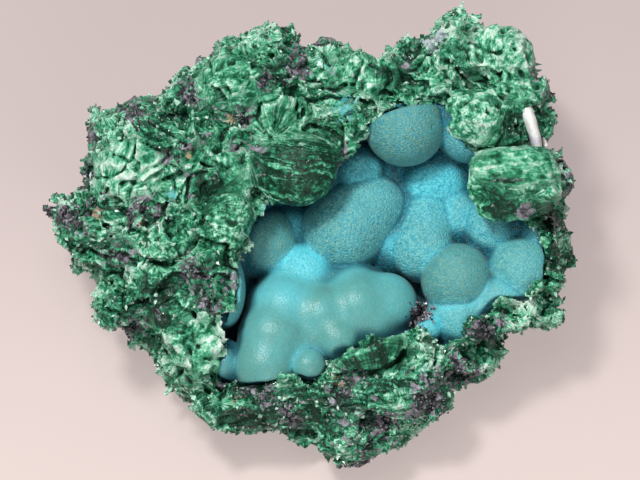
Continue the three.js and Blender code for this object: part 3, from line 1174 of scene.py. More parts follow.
class RimPart(Enum):
    """The four parts that the fine rim is meshed in, by the side of the middle they lie on."""

    BACK_RIGHT = "rim_back_right"
    BACK_LEFT = "rim_back_left"
    FRONT_LEFT = "rim_front_left"
    FRONT_RIGHT = "rim_front_right"

    def holds(self, places: np.ndarray) -> np.ndarray:
        """Which of some places lie in this part.

        Args:
            places: (N, 3) places in the face frame.

        Returns:
            True for each place in the part.
        """
        right, back = places[:, 0] > -6, places[:, 1] > 2
        return {
            RimPart.BACK_RIGHT: right & back,
            RimPart.BACK_LEFT: ~right & back,
            RimPart.FRONT_LEFT: ~right & ~back,
            RimPart.FRONT_RIGHT: right & ~back,
        }[self]


@dataclass
class Rock:
    """The broken malachite: a fine rim around the vug, and the coarser back and base.

    Args:
        stone: the shared shape.
        relief: how the broken surface is roughened.
        rim_step: lattice spacing of the rim, millimetres.
        back_step: lattice spacing of the back.
        split: how far out of the girth plane the rim starts.
        overlap: how far the rim and the back run into each other.
    """

    stone: Stone
    relief: Relief = field(default_factory=Relief)
    rim_step: float = 0.25
    back_step: float = 0.45
    split: float = -3.0
    overlap: float = 0.3

    def rim(self) -> Surface:
        """Works out the rim and the visible front side.

        Returns:
            The rim with the facts of its finish.
        """
        at = Lattice((-36, -32, self.split - 1.2), (36, 32, 17), self.rim_step)
        vug = self.stone.vug(at)
        skin, deep = self.stone.skin(at)
        wall = np.clip(1.6 - np.abs(vug - skin), 0, 1) * deep
        rock = np.maximum(self.stone.nodule(at), skin - 0.1 - vug)
        rock, calm = self.stone.add_lumps(at, rock)
        rock = self.relief.roughen(at, rock, np.maximum(0.92 * calm, wall))
        rock = np.maximum(rock, self.split - at.w)
        rock = np.maximum(rock, self.stone.face.floor_field(at.v, at.w))
        solid = blurred(np.clip(0.5 - rock / self.rim_step, 0, 1), 3)
        surface = Surface(*at.surface(rock)).largest_part()
        surface.facts = self._facts(surface.points)
        # How enclosed each vertex is; the malachite turns it into painted shade in recesses and painted
        # highlights on ridges.
        surface.facts["hollow"] = np.clip(at.sample(solid, surface.points), 0, 1)
        surface.facts["calm"] = at.sample(calm, surface.points)
        return surface

    def back(self) -> Surface:
        """Works out the back, the lower sides and the flat base.

        Returns:
            The back with the facts of its finish.
        """
        at = Lattice((-36, -32, -30), (36, 32, self.split + 2), self.back_step)
        rock = self.relief.roughen(at, self.stone.nodule(at))
        rock = np.maximum(rock, at.w - self.split - self.overlap)
        rock = np.maximum(rock, self.stone.face.floor_field(at.v, at.w))
        solid = blurred(np.clip(0.5 - rock / self.back_step, 0, 1), 2)
        surface = Surface(*at.surface(rock, 0.004)).largest_part()
        surface.facts = self._facts(surface.points)
        # How enclosed each vertex is; the malachite turns it into painted shade in recesses and painted
        # highlights on ridges.
        surface.facts["hollow"] = np.clip(at.sample(solid, surface.points), 0, 1)
        surface.facts["calm"] = np.zeros(len(surface.points), np.float32)
        return surface

    def dress(self, rim: Surface, back: Surface, material: bpy.types.Material) -> None:
        """Makes the rim's four parts and the back as objects in malachite.

        Args:
            rim: the rim.
            back: the back.
            material: fibrous malachite.
        """
        middles = rim.points[rim.faces].mean(1)
        for part in RimPart:
            piece = rim.part(part.holds(middles)).to_object(part.value, self.stone.face, smooth=False)
            settle(piece, material)
        settle(back.to_object("nodule_back", self.stone.face), material)

    def left_edge(self, rim: Surface) -> np.ndarray:
        """How near each vertex of the rim lies to the outline's upper left, where oxide gathers.

        Args:
            rim: the rim.

        Returns:
            (N,) values from 0 to 1.
        """
        u, v = rim.points[:, 0], rim.points[:, 1]
        return np.clip((self.stone.girth.share(u, v) - 0.88) / 0.1, 0, 1) * (u < 2) * (v > -6)

    def _facts(self, points: np.ndarray) -> dict[str, np.ndarray]:
        """Strength of each mineral and the grown faces at the vertices.

        Args:
            points: (N, 3) vertices.

        Returns:
            One array for each fact.
        """
        facts = {m.value: patch_strength(points, m) for m in Mineral}
        facts.update(grown_faces(points, [self.stone.rim_surface(*s.root) - 1.5 for s in SPRAYS]))
        # Pale-mint patches lighten the tone; deep-green patches darken it, partly as painted shade.
        facts["shade"] += 0.8 * facts.pop("mint") - 1.1 * facts.pop("deep")
        low = np.clip((2.0 - points[:, 2]) / 6.0, 0, 1)
        mottle = layered_noise(points, 5.0, 3, 71)
        spread = np.clip(1.6 * (mottle + 0.5 * low - 0.2), 0, 1)
        facts["oxide"] = np.maximum(facts["oxide"], spread) * (1 - 0.8 * facts["grown"])
        facts["layered"], facts["layer"] = front_layers(points)
        return facts


@dataclass
class Lining:
    """The chrysocolla skin of the vug and the domes that grow from it."""

    stone: Stone
    step: float = 0.26

    def surface(self) -> Surface:
        """Works out the lining as one closed shell with its domes.

        Returns:
            The lining with the facts of its finish.
        """
        at = Lattice((-15, -22, -4), (34, 21, 15), self.step)
        vug = self.stone.vug(at)
        domes = self.stone.domes(at)
        skin, _ = self.stone.skin(at)
        shape = np.maximum(vug - skin, np.minimum(-vug, domes["distance"]))
        inside = self.stone.nodule(at) + 0.4
        shape = np.maximum(shape, np.minimum(inside, domes["distance"]))
        rock, _ = self.stone.add_lumps(at, np.maximum(self.stone.nodule(at), skin - 0.1 - vug))
        solid = np.clip(0.5 - np.minimum(shape, rock) / self.step, 0, 1)
        surface = Surface(*at.surface(shape)).largest_part()
        second = at.sample(domes["second"], surface.points)
        first = at.sample(domes["distance"], surface.points)
        surface.facts = {
            "crease": np.clip(second - np.minimum(first, 0), 0, FAR),
            "weathered": at.sample(domes["weathered"], surface.points),
            "silk": at.sample(domes["silk"], surface.points),
            "wall": np.clip(first / 0.6, 0, 1),
            # How enclosed each vertex is, close by and wide; the chrysocolla turns these into painted shade
            # in gaps and nooks.
            "tight": np.clip(at.sample(blurred(solid, 4), surface.points), 0, 1),
            "deep": np.clip(at.sample(blurred(solid, 13), surface.points), 0, 1),
        }
        return surface

    def dress(self, surface: Surface, material: bpy.types.Material) -> None:
        """Makes the lining as an object in chrysocolla."""
        settle(surface.to_object("vug_lining", self.stone.face), material)


@dataclass
class CalciteSeam:
    """The milky white calcite that fills a curved crack beside the loose-looking chunk.

    Args:
        stone: the shared shape.
        run: places along the crack, across, up and above the rim surface.
        half_width: half the seam's width along its run, millimetres.
        splinter: places along the small splinter beside it.
        step: lattice spacing.
    """

    stone: Stone
    run: tuple[Triple, ...] = (
        (27.2, 18.2, 0.3),
        (27.8, 17.2, 0.9),
        (28.5, 15.3, 1.1),
        (29.1, 13.3, 1.4),
        (29.4, 11.6, 1.6),
    )
    half_width: tuple[float, ...] = (0.45, 0.85, 0.8, 0.72, 0.6)
    splinter: tuple[Triple, ...] = ((30.2, 13.2, 0.9), (30.5, 12.2, 1.4), (30.6, 11.2, 1.2))
    step: float = 0.16

    def surface(self) -> Surface:
        """Works out the seam and its small splinter.

        Returns:
            The seam with the fact of its streaks.
        """
        at = Lattice((24.5, 8.0, 0.0), (33, 21, 16), self.step)
        shape = np.full(at.shape, FAR, np.float32)
        for chain, widths in ((self.run, self.half_width), (self.splinter, (0.2, 0.35, 0.2))):
            places = [np.array((u, v, self.stone.rim_surface(u, v) + lift)) for u, v, lift in chain]
            for a, b, wide_a, wide_b in zip(places, places[1:], widths, widths[1:]):
                shape = np.minimum(shape, self._rod(at, a, b, wide_a, wide_b))
        index = np.nonzero(np.abs(shape) < 1.0)
        p = at.points(index)
        shape[index] -= 0.14 * layered_noise(p * np.array((1.0, 0.35, 1.0), np.float32), 0.9, 3, 17)
        surface = Surface(*at.surface(shape))
        surface.facts = {"streak": layered_noise(surface.points, 1.6, 2, 19)}
        return surface

    @staticmethod
    def _rod(at: Lattice, a: np.ndarray, b: np.ndarray, wide_a: float, wide_b: float) -> np.ndarray:
        """Distance from a rod between two places, deeper than it is wide.

        Args:
            at: the lattice.
            a: one end.
            b: the other end.
            wide_a: half width at the first end.
            wide_b: half width at the other end.

        Returns:
            Distances, negative inside.
        """
        squash = 0.6
        along = b - a
        x, y, z = at.u - a[0], at.v - a[1], at.w - a[2]
        t = np.clip((x * along[0] + y * along[1] + z * along[2]) / along.dot(along), 0, 1)
        dx, dy, dz = x - t * along[0], y - t * along[1], squash * (z - t * along[2])
        return (np.sqrt(dx * dx + dy * dy + dz * dz) - (wide_a + t * (wide_b - wide_a))).astype(np.float32)

    def dress(self, surface: Surface, material: bpy.types.Material) -> None:
        """Makes the seam as an object in calcite."""
        settle(surface.to_object("calcite_seam", self.stone.face), material)


@dataclass
class Grains:
    """Small loose-grown crystals that stand out of a surface, joined as one mesh.

    Args:
        name: the piece's name.
        count: how many crystals.
        size: smallest and largest half length, millimetres.
        slender: width as a share of the length.
        seed: number that picks the scatter.
    """

    name: str
    count: int
    size: Pair
    slender: float
    seed: int

    def surface(self, host: Surface, chance: np.ndarray) -> Surface:
        """Scatters the crystals over a surface.

        Args:
            host: the surface they grow on.
            chance: how likely a crystal is at each of its vertices.

        Returns:
            The joined crystals; a fact "grain" holds a random value for each.
        """
        rng = np.random.default_rng(self.seed)
        spots = rng.choice(len(host.points), self.count, replace=False, p=chance / chance.sum())
        out = host.normals()[spots]
        lean = out + 0.75 * rng.normal(size=(self.count, 3))
        lean /= np.linalg.norm(lean, axis=1, keepdims=True)
        side = np.cross(lean, rng.normal(size=(self.count, 3)))
        side /= np.linalg.norm(side, axis=1, keepdims=True)
        third = np.cross(lean, side)
        size = self.size[0] + (self.size[1] - self.size[0]) * rng.random(self.count) ** 2
        width = size * self.slender * rng.uniform(0.6, 1.2, self.count)
        breadth = size * self.slender * rng.uniform(0.6, 1.4, self.count)
        middle = host.points[spots] + out * (0.25 * size)[:, None]
        arms = (lean * size[:, None], side * width[:, None], third * breadth[:, None])
        corners = np.stack([middle + sign * arm for arm in arms for sign in (1, -1)], 1)
        upper = [(0, 2, 4), (2, 1, 4), (1, 3, 4), (3, 0, 4)]
        shape = np.array(upper + [(2, 0, 5), (1, 2, 5), (3, 1, 5), (0, 3, 5)])
        faces = (shape[None] + 6 * np.arange(self.count)[:, None, None]).reshape(-1, 3)
        facts = {"grain": np.repeat(rng.random(self.count), 6)}
        return Surface(corners.reshape(-1, 3).astype(np.float32), faces.astype(np.int32), facts)

    def dress(self, surface: Surface, face: FaceFrame, slot: str, material: bpy.types.Material) -> None:
        """Makes the crystals as an object."""
        settle(surface.to_object(self.name, face, smooth=False), material)


# ---------------------------------------------------------------- shader helpers
class Nodes:
    """Adds nodes to one tree with short calls."""

    def __init__(self, tree: bpy.types.NodeTree) -> None:
        """Keeps the tree."""
        self.tree = tree

    def add(self, kind: str, settings: dict | None = None, **inputs: object) -> bpy.types.Node:
        """Adds a node.

        Args:
            kind: the node's type name, without the ShaderNode prefix.
            settings: attributes to set on it.
            **inputs: values or sockets for its inputs, by name with spaces as underscores.

        Returns:
            The new node.
        """
        node = self.tree.nodes.new("ShaderNode" + kind)
        for key, value in (settings or {}).items():
            setattr(node, key, value)
        for key, value in inputs.items():
            self.feed(node, key.replace("_", " "), value)
        return node

    def feed(self, node: bpy.types.Node, name: str | int, value: object) -> None:
        """Links a socket to an input, or sets the input's own value.

        Args:
            node: the node that takes it.
            name: name or number of the input.
            value: a socket or a plain value.
        """
        socket = node.inputs[name]
        if isinstance(value, bpy.types.NodeSocket):
            self.tree.links.new(value, socket)
        else:
            socket.default_value = value

    def math(self, operation: str, *values: object, clamp: bool = False) -> Socket:
        """Adds a math node and returns its result.

        Args:
            operation: what the node works out.
            *values: sockets or numbers.
            clamp: whether to keep the result in 0 to 1.

        Returns:
            The result socket.
        """
        node = self.tree.nodes.new("ShaderNodeMath")
        node.operation, node.use_clamp = operation, clamp
        for k, value in enumerate(values):
            self.feed(node, k, value)
        return node.outputs[0]

    def total(self, *terms: tuple[object, float]) -> Socket:
        """Returns the sum of values times their weights.

        Args:
            *terms: pairs of a value and its weight.

        Returns:
            The sum as a socket.
        """
        result = 0.0
        for value, weight in terms:
            result = self.math("MULTIPLY_ADD", value, weight, result)
        return result

    def vector(self, operation: str, *values: object) -> Socket:
        """Adds a vector math node and returns its vector result.

        Args:
            operation: what the node works out.
            *values: sockets or vectors.

        Returns:
            The result socket.
        """
        node = self.tree.nodes.new("ShaderNodeVectorMath")
        node.operation = operation
        for k, value in enumerate(values):
            self.feed(node, "Scale" if operation == "SCALE" and k == 1 else k, value)
        return node.outputs["Value" if operation == "LENGTH" else "Vector"]

    def span(self, value: object, low: float, high: float, to: Pair = (0.0, 1.0)) -> Socket:
        """Maps a value from low..high to a range, clamped, with eased ends.

        Args:
            value: what is mapped.
            low: maps to the start of the range.
            high: maps to its end.
            to: the range.

        Returns:
            The mapped value.
        """
        node = self.tree.nodes.new("ShaderNodeMapRange")
        node.interpolation_type = "SMOOTHSTEP"
        for k, item in enumerate((value, low, high, to[0], to[1])):
            self.feed(node, k, item)
        return node.outputs[0]

    def blend(self, share: object, a: object, b: object) -> Socket:
        """Mixes two colours and returns the result.

        Args:
            share: 0 for the first, 1 for the second.
            a: first colour.
            b: second colour.

        Returns:
            The mixed colour.
        """
        node = self.tree.nodes.new("ShaderNodeMix")
        node.data_type = "RGBA"
        node.clamp_factor = True
        for k, item in ((0, share), (6, a), (7, b)):
            self.feed(node, k, (*item, 1.0) if isinstance(item, tuple) and len(item) == 3 else item)
        return node.outputs[2]

    def blend_vector(self, share: object, a: object, b: object) -> Socket:
        """Mixes two vectors and returns the result.

        Args:
            share: 0 for the first, 1 for the second.
            a: first vector.
            b: second vector.

        Returns:
            The mixed vector.
        """
        node = self.tree.nodes.new("ShaderNodeMix")
        node.data_type = "VECTOR"
        for k, item in ((0, share), (4, a), (5, b)):
            self.feed(node, k, item)
        return node.outputs[1]

    def ramp(self, value: object, stops: tuple[tuple[float, Triple], ...]) -> Socket:
        """Returns a colour read off a ramp of (position, colour) stops.

        Args:
            value: place along the ramp, 0 to 1.
            stops: the stops in order.

        Returns:
            The colour socket.
        """
        node = self.add("ValToRGB", Fac=value)
        band = node.color_ramp
        while len(band.elements) < len(stops):
            band.elements.new(0.5)
        for element, (position, colour) in zip(band.elements, stops):
            element.position, element.color = position, (*colour, 1.0)
        return node.outputs["Color"]

    def fact(self, name: str, socket: str = "Fac") -> Socket:
        """Returns a per-vertex value kept on the mesh.

        Args:
            name: the fact's name.
            socket: which output to read.

        Returns:
            The value as a socket.
        """
        node = self.tree.nodes.new("ShaderNodeAttribute")
        node.attribute_name = name
        return node.outputs[socket]

    def millimetres(self) -> Socket:
        """Returns the place on the object in millimetres."""
        coordinate = self.tree.nodes.new("ShaderNodeTexCoord")
        return self.vector("SCALE", coordinate.outputs["Object"], 1000.0)

    def noise(self, place: object, scale: object, detail: float = 2.0, rough: float = 0.5) -> Socket:
        """Returns smooth noise, 0 to 1, at a place in millimetres."""
        return self.add("TexNoise", Vector=place, Scale=scale, Detail=detail, Roughness=rough).outputs["Fac"]

    def place_effect(self, effect: bpy.types.NodeTree, **values: object) -> bpy.types.Node:
        """Places a shared effect in this tree with its own values.

        Args:
            effect: the shared group.
            **values: input values, with _ for a space in a name.

        Returns:
            The group node.
        """
        node = self.tree.nodes.new("ShaderNodeGroup")
        node.node_tree = effect
        for key, value in values.items():
            self.feed(node, key.replace("_", " "), value)
        return node


def new_effect(
    name: str, inputs: dict[str, tuple[str, object]], outputs: dict[str, str]
) -> tuple[Nodes, dict, dict]:
    """Makes an empty shared effect.

    Args:
        name: the effect's name.
        inputs: kind and default of each input, by name.
        outputs: kind of each output, by name.

    Returns:
        Its node helper, its input sockets and its output sockets, by name.
    """
    tree = bpy.data.node_groups.new(name, "ShaderNodeTree")
    for key, (kind, default) in inputs.items():
        socket = tree.interface.new_socket(key, in_out="INPUT", socket_type="NodeSocket" + kind)
        socket.default_value = default
    for key, kind in outputs.items():
        tree.interface.new_socket(key, in_out="OUTPUT", socket_type="NodeSocket" + kind)
    start = tree.nodes.new("NodeGroupInput")
    end = tree.nodes.new("NodeGroupOutput")
    return Nodes(tree), dict(start.outputs.items()), dict(end.inputs.items())


@dataclass
class Effects:
    """The effects that the minerals share, each built once."""

    grains: bpy.types.NodeTree = field(init=False)
    mottle: bpy.types.NodeTree = field(init=False)
    fibres: bpy.types.NodeTree = field(init=False)

    def __post_init__(self) -> None:
        """Builds every effect."""
        self.grains = self._build_grains()
        self.mottle = self._build_mottle()
        self.fibres = self._build_fibres()

    @staticmethod
    def _build_grains() -> bpy.types.NodeTree:
        """Glinting grains: a random tone for each, its rounded height and its own tilt of the surface.

        Returns:
            The group.
        """
        inputs = {"Size": ("Float", 0.4), "Tilt": ("Float", 0.5)}
        outputs = {"Tone": "Float", "Round": "Float", "Normal": "Vector"}
        n, given, put = new_effect("glinting_grains", inputs, outputs)
        size = n.math("DIVIDE", 1.0, given["Size"])
        cells = n.add("TexVoronoi", Vector=n.millimetres(), Scale=size)
        tone = n.add("SeparateColor", Color=cells.outputs["Color"]).outputs["Red"]
        high = n.math("SUBTRACT", 1.0, n.math("MULTIPLY", cells.outputs["Distance"], 1.3))
        lean = n.vector("SUBTRACT", cells.outputs["Color"], (0.5, 0.5, 0.5))
        lean = n.vector("SCALE", lean, given["Tilt"])
        out = n.vector("NORMALIZE", n.vector("ADD", n.add("NewGeometry").outputs["Normal"], lean))
        for key, socket in (("Tone", tone), ("Round", high), ("Normal", out)):
            n.tree.links.new(socket, put[key])
        return n.tree

    @staticmethod
    def _build_mottle() -> bpy.types.NodeTree:
        """Cloudy mottling: a value that drifts about 0 by the given strength.

        Returns:
            The group.
        """
        inputs = {"Size": ("Float", 3.0), "Strength": ("Float", 0.5)}
        n, given, put = new_effect("cloudy_mottle", inputs, {"Value": "Float"})
        cloud = n.noise(n.millimetres(), n.math("DIVIDE", 1.0, given["Size"]), 4.0, 0.6)
        value = n.math("MULTIPLY", n.math("SUBTRACT", cloud, 0.5), given["Strength"])
        n.tree.links.new(value, put["Value"])
        return n.tree

    @staticmethod
    def _build_fibres() -> bpy.types.NodeTree:
        """Silky fibres in fans: streaks that radiate, a tone for each fan and the streaks' height.

        Returns:
            The group.
        """
        inputs = {
            "Fan Size": ("Float", 4.0),
            "Fineness": ("Float", 6.0),
            "Spray": ("Vector", (0.0, 0.0, 0.0)),
            "Grown": ("Float", 0.0),
        }
        outputs = {"Streak": "Float", "Fan": "Float", "Height": "Float"}
        n, given, put = new_effect("silky_fibres", inputs, outputs)
        place = n.millimetres()
        bend = n.add("TexNoise", Vector=place, Scale=0.35, Detail=2.0)
        bent = n.vector("ADD", place, n.vector("SCALE", bend.outputs["Color"], 2.2))
        fans = n.add("TexVoronoi", Vector=bent, Scale=n.math("DIVIDE", 1.0, given["Fan Size"]))
        outward = n.vector("SUBTRACT", bent, fans.outputs["Position"])
        ray = n.vector("NORMALIZE", outward)
        ray = n.vector("ADD", ray, n.vector("SCALE", fans.outputs["Color"], 7.0))
        grown_ray = n.vector("SCALE", n.vector("NORMALIZE", given["Spray"]), 1.7)
        ray = n.blend_vector(given["Grown"], ray, grown_ray)
        coarse = n.noise(ray, given["Fineness"], 3.0, 0.62)
        fine = n.noise(ray, n.math("MULTIPLY", given["Fineness"], 3.2), 2.0, 0.6)
        streak = n.total((coarse, 0.68), (fine, 0.32))
        tone = n.add("SeparateColor", Color=fans.outputs["Color"]).outputs["Red"]
        tone = n.math("MULTIPLY", tone, n.math("SUBTRACT", 1.0, given["Grown"]))
        tone = n.math("MULTIPLY_ADD", given["Grown"], 0.5, tone)
        height = n.total((coarse, 0.8), (fine, 0.5))
        for key, socket in (("Streak", streak), ("Fan", tone), ("Height", height)):
            n.tree.links.new(socket, put[key])
        return n.tree


def new_material(name: str) -> tuple[bpy.types.Material, Nodes, bpy.types.Node]:
    """Makes an empty material.

    Args:
        name: its name.

    Returns:
        The material, its node helper and its Principled node.
    """
    material = bpy.data.materials.new(name)
    material.use_nodes = True
    return material, Nodes(material.node_tree), material.node_tree.nodes["Principled BSDF"]


@dataclass(frozen=True)
class MalachiteFinish:
    """Fibrous malachite with oxide, tan and turquoise patches on its broken surface; painted shade in
    recesses, painted highlights on ridges.
    """

    shadow: Triple = (0.004, 0.026, 0.014)
    deep: Triple = (0.01, 0.095, 0.048)
    middle: Triple = (0.03, 0.25, 0.125)
    mint: Triple = (0.17, 0.51, 0.33)
    # Whitish green at the top of the ramp: partly pale fibres, partly painted glints.
    white: Triple = (0.6, 0.76, 0.66)
    oxide_dark: Triple = (0.012, 0.009, 0.014)
    oxide_light: Triple = (0.34, 0.31, 0.37)
    tan: Triple = (0.4, 0.3, 0.18)
    turquoise: Triple = (0.1, 0.42, 0.44)
    pale: Triple = (0.42, 0.46, 0.52)

    def build(self, effects: Effects) -> bpy.types.Material:
        """Builds the material.

        Args:
            effects: the shared effects.

        Returns:
            The material.
        """
        material, n, shader = new_material("malachite")
        fibres = n.place_effect(effects.fibres, Fan_Size=4.2, Fineness=5.0)
        n.feed(fibres, "Spray", n.fact("spray", "Vector"))
        n.feed(fibres, "Grown", n.fact("grown"))
        grains = n.place_effect(effects.grains, Size=0.8, Tilt=0.4)
        large = n.place_effect(effects.mottle, Size=2.6, Strength=1.0).outputs["Value"]
        small = n.place_effect(effects.mottle, Size=0.55, Strength=1.0).outputs["Value"]
        grain = n.math("SUBTRACT", grains.outputs["Tone"], 0.5)
        rings = self._rings(n)
        streak = n.span(fibres.outputs["Streak"], 0.34, 0.66)
        plain = n.math("MULTIPLY_ADD", n.fact("rings"), -0.6, 1.0)
        hollow = n.fact("hollow")
        # Painted shade: enclosed recesses, where hollow is high, are darkened. Painted highlight: exposed
        # ridges, where it is low, are lightened.
        painted_ridge_highlight, painted_recess_shade = n.span(hollow, 0.52, 0.3), n.span(hollow, 0.56, 0.78)
        tone = n.total(
            (streak, 0.48),
            (fibres.outputs["Fan"], 0.36),
            (grain, 0.18),
            (n.math("MULTIPLY", large, plain), 0.5),
            (painted_ridge_highlight, 0.16),
            (painted_recess_shade, -0.52),
            (rings, 0.75),
            (n.fact("shade"), 0.3),
            (self._layers(n), 0.4),
        )
        tone = n.math("MULTIPLY_ADD", tone, 1.38, -0.16, clamp=True)
        dark_stops = ((0.06, self.shadow), (0.24, self.deep), (0.47, self.middle))
        body = n.ramp(tone, (*dark_stops, (0.7, self.mint), (0.96, self.white)))
        body = self._patches(n, body, grain, small)
        height = n.total((fibres.outputs["Height"], 1.0), (small, 0.5), (rings, 0.5))
        bump = n.add("Bump", Strength=0.7, Distance=0.0002, Height=height, Normal=grains.outputs["Normal"])
        n.feed(shader, "Base Color", body)
        n.feed(shader, "Normal", bump.outputs["Normal"])
        dull = n.span(grains.outputs["Tone"], 0.0, 1.0, (0.14, 0.42))
        n.feed(shader, "Roughness", n.math("MULTIPLY_ADD", n.fact("grown"), 0.14, dull))
        shader.inputs["Specular IOR Level"].default_value = 0.4
        shader.inputs["Specular Tint"].default_value = (0.65, 0.95, 0.8, 1)
        return material

    @staticmethod
    def _rings(n: Nodes) -> Socket:
        """Growth rings about a spray's root, -0.5 to 0.5 where they show.

        Args:
            n: node helper of the material.

        Returns:
            The value as a socket.
        """
        across = n.vector("LENGTH", n.fact("spray", "Vector"))
        wobble = n.noise(n.millimetres(), 0.5, 2.0)
        along = n.add("CombineXYZ", X=n.math("MULTIPLY_ADD", wobble, 0.8, across))
        line = n.noise(along.outputs[0], 2.6, 3.0, 0.7)
        return n.math("MULTIPLY", n.math("SUBTRACT", n.span(line, 0.3, 0.7), 0.5), n.fact("rings"))

    @staticmethod
    def _layers(n: Nodes) -> Socket:
        """Thin light and dark layers of the front side, -0.5 to 0.5 where they show.

        Args:
            n: node helper of the material.

        Returns:
            The value as a socket.
        """
        along = n.add("CombineXYZ", X=n.fact("layer"))
        line = n.noise(along.outputs[0], 1.3, 3.0, 0.7)
        return n.math("MULTIPLY", n.math("SUBTRACT", n.span(line, 0.35, 0.65), 0.55), n.fact("layered"))

    def _patches(self, n: Nodes, body: object, grain: object, small: object) -> Socket:
        """Lays the other minerals over the green with broken edges.

        Args:
            n: node helper of the material.
            body: green of the malachite.
            grain: random tone of each grain.
            small: fine mottling.

        Returns:
            The finished colour.
        """
        broken = n.total((grain, 0.9), (small, 1.9))
        dark = n.span(n.math("ADD", n.fact("oxide"), broken), 0.5, 0.8)
        sparkle = n.span(n.total((grain, 1.1), (small, 1.4)), 0.0, 0.75)
        body = n.blend(dark, body, n.blend(sparkle, self.oxide_dark, self.oxide_light))
        colours = {Mineral.TAN: self.tan, Mineral.TURQUOISE: self.turquoise, Mineral.PALE: self.pale}
        for mineral, colour in colours.items():
            share = n.span(n.math("ADD", n.fact(mineral.value), broken), 0.5, 1.1)
            body = n.blend(n.math("MULTIPLY", share, 0.8), body, colour)
        return body


@dataclass(frozen=True)
class ShardFinish:
    """Clear-green crystals and splinters of malachite, each with its own tone."""

    dark: Triple = (0.006, 0.09, 0.035)
    # Near white: partly pale malachite, partly painted glints.
    bright: Triple = (0.5, 0.78, 0.64)

    def build(self, effects: Effects) -> bpy.types.Material:
        """Builds the material.

        Args:
            effects: the shared effects.

        Returns:
            The material.
        """
        material, n, shader = new_material("malachite_crystals")
        grains = n.place_effect(effects.grains, Size=0.25, Tilt=0.25)
        cloud = n.place_effect(effects.mottle, Size=0.6, Strength=0.6).outputs["Value"]
        share = n.math("ADD", n.math("POWER", n.fact("grain"), 2.0), cloud)
        n.feed(shader, "Base Color", n.blend(n.span(share, 0.05, 1.0), self.dark, self.bright))
        n.feed(shader, "Normal", grains.outputs["Normal"])
        shader.inputs["Roughness"].default_value = 0.2
        shader.inputs["Specular IOR Level"].default_value = 0.7
        return material


@dataclass(frozen=True)
class OxideFinish:
    """Blackish iron and manganese oxide in small sparkling crystals."""

    dark: Triple = (0.01, 0.008, 0.012)
    light: Triple = (0.36, 0.33, 0.39)

    def build(self, effects: Effects) -> bpy.types.Material:
        """Builds the material.

        Args:
            effects: the shared effects.

        Returns:
            The material.
        """
        material, n, shader = new_material("oxide")
        grains = n.place_effect(effects.grains, Size=0.2, Tilt=0.5)
        cloud = n.place_effect(effects.mottle, Size=0.5, Strength=0.8).outputs["Value"]
        share = n.math("ADD", n.math("POWER", n.fact("grain"), 2.5), cloud)
        n.feed(shader, "Base Color", n.blend(share, self.dark, self.light))
        n.feed(shader, "Normal", grains.outputs["Normal"])
        n.feed(shader, "Roughness", n.span(grains.outputs["Tone"], 0.0, 1.0, (0.15, 0.4)))
        shader.inputs["Specular IOR Level"].default_value = 0.8
        return material


@dataclass(frozen=True)
class CalciteFinish:
    """Milky calcite with faint lilac-grey streaks."""

    milk: Triple = (0.8, 0.79, 0.78)
    grey: Triple = (0.5, 0.5, 0.58)

    def build(self, effects: Effects) -> bpy.types.Material:
        """Builds the material.

        Args:
            effects: the shared effects.

        Returns:
            The material.
        """
        material, n, shader = new_material("calcite")
        grains = n.place_effect(effects.grains, Size=0.35, Tilt=0.2)
        cloud = n.place_effect(effects.mottle, Size=1.4, Strength=1.2).outputs["Value"]
        share = n.span(n.math("ADD", n.fact("streak"), cloud), 0.0, 0.6)
        n.feed(shader, "Base Color", n.blend(share, self.milk, self.grey))
        bump = n.add("Bump", Strength=0.5, Distance=0.0001, Height=cloud, Normal=grains.outputs["Normal"])
        n.feed(shader, "Normal", bump.outputs["Normal"])
        shader.inputs["Roughness"].default_value = 0.28
        shader.inputs["Subsurface Weight"].default_value = 0.25
        shader.inputs["Subsurface Scale"].default_value = 0.001
        return material


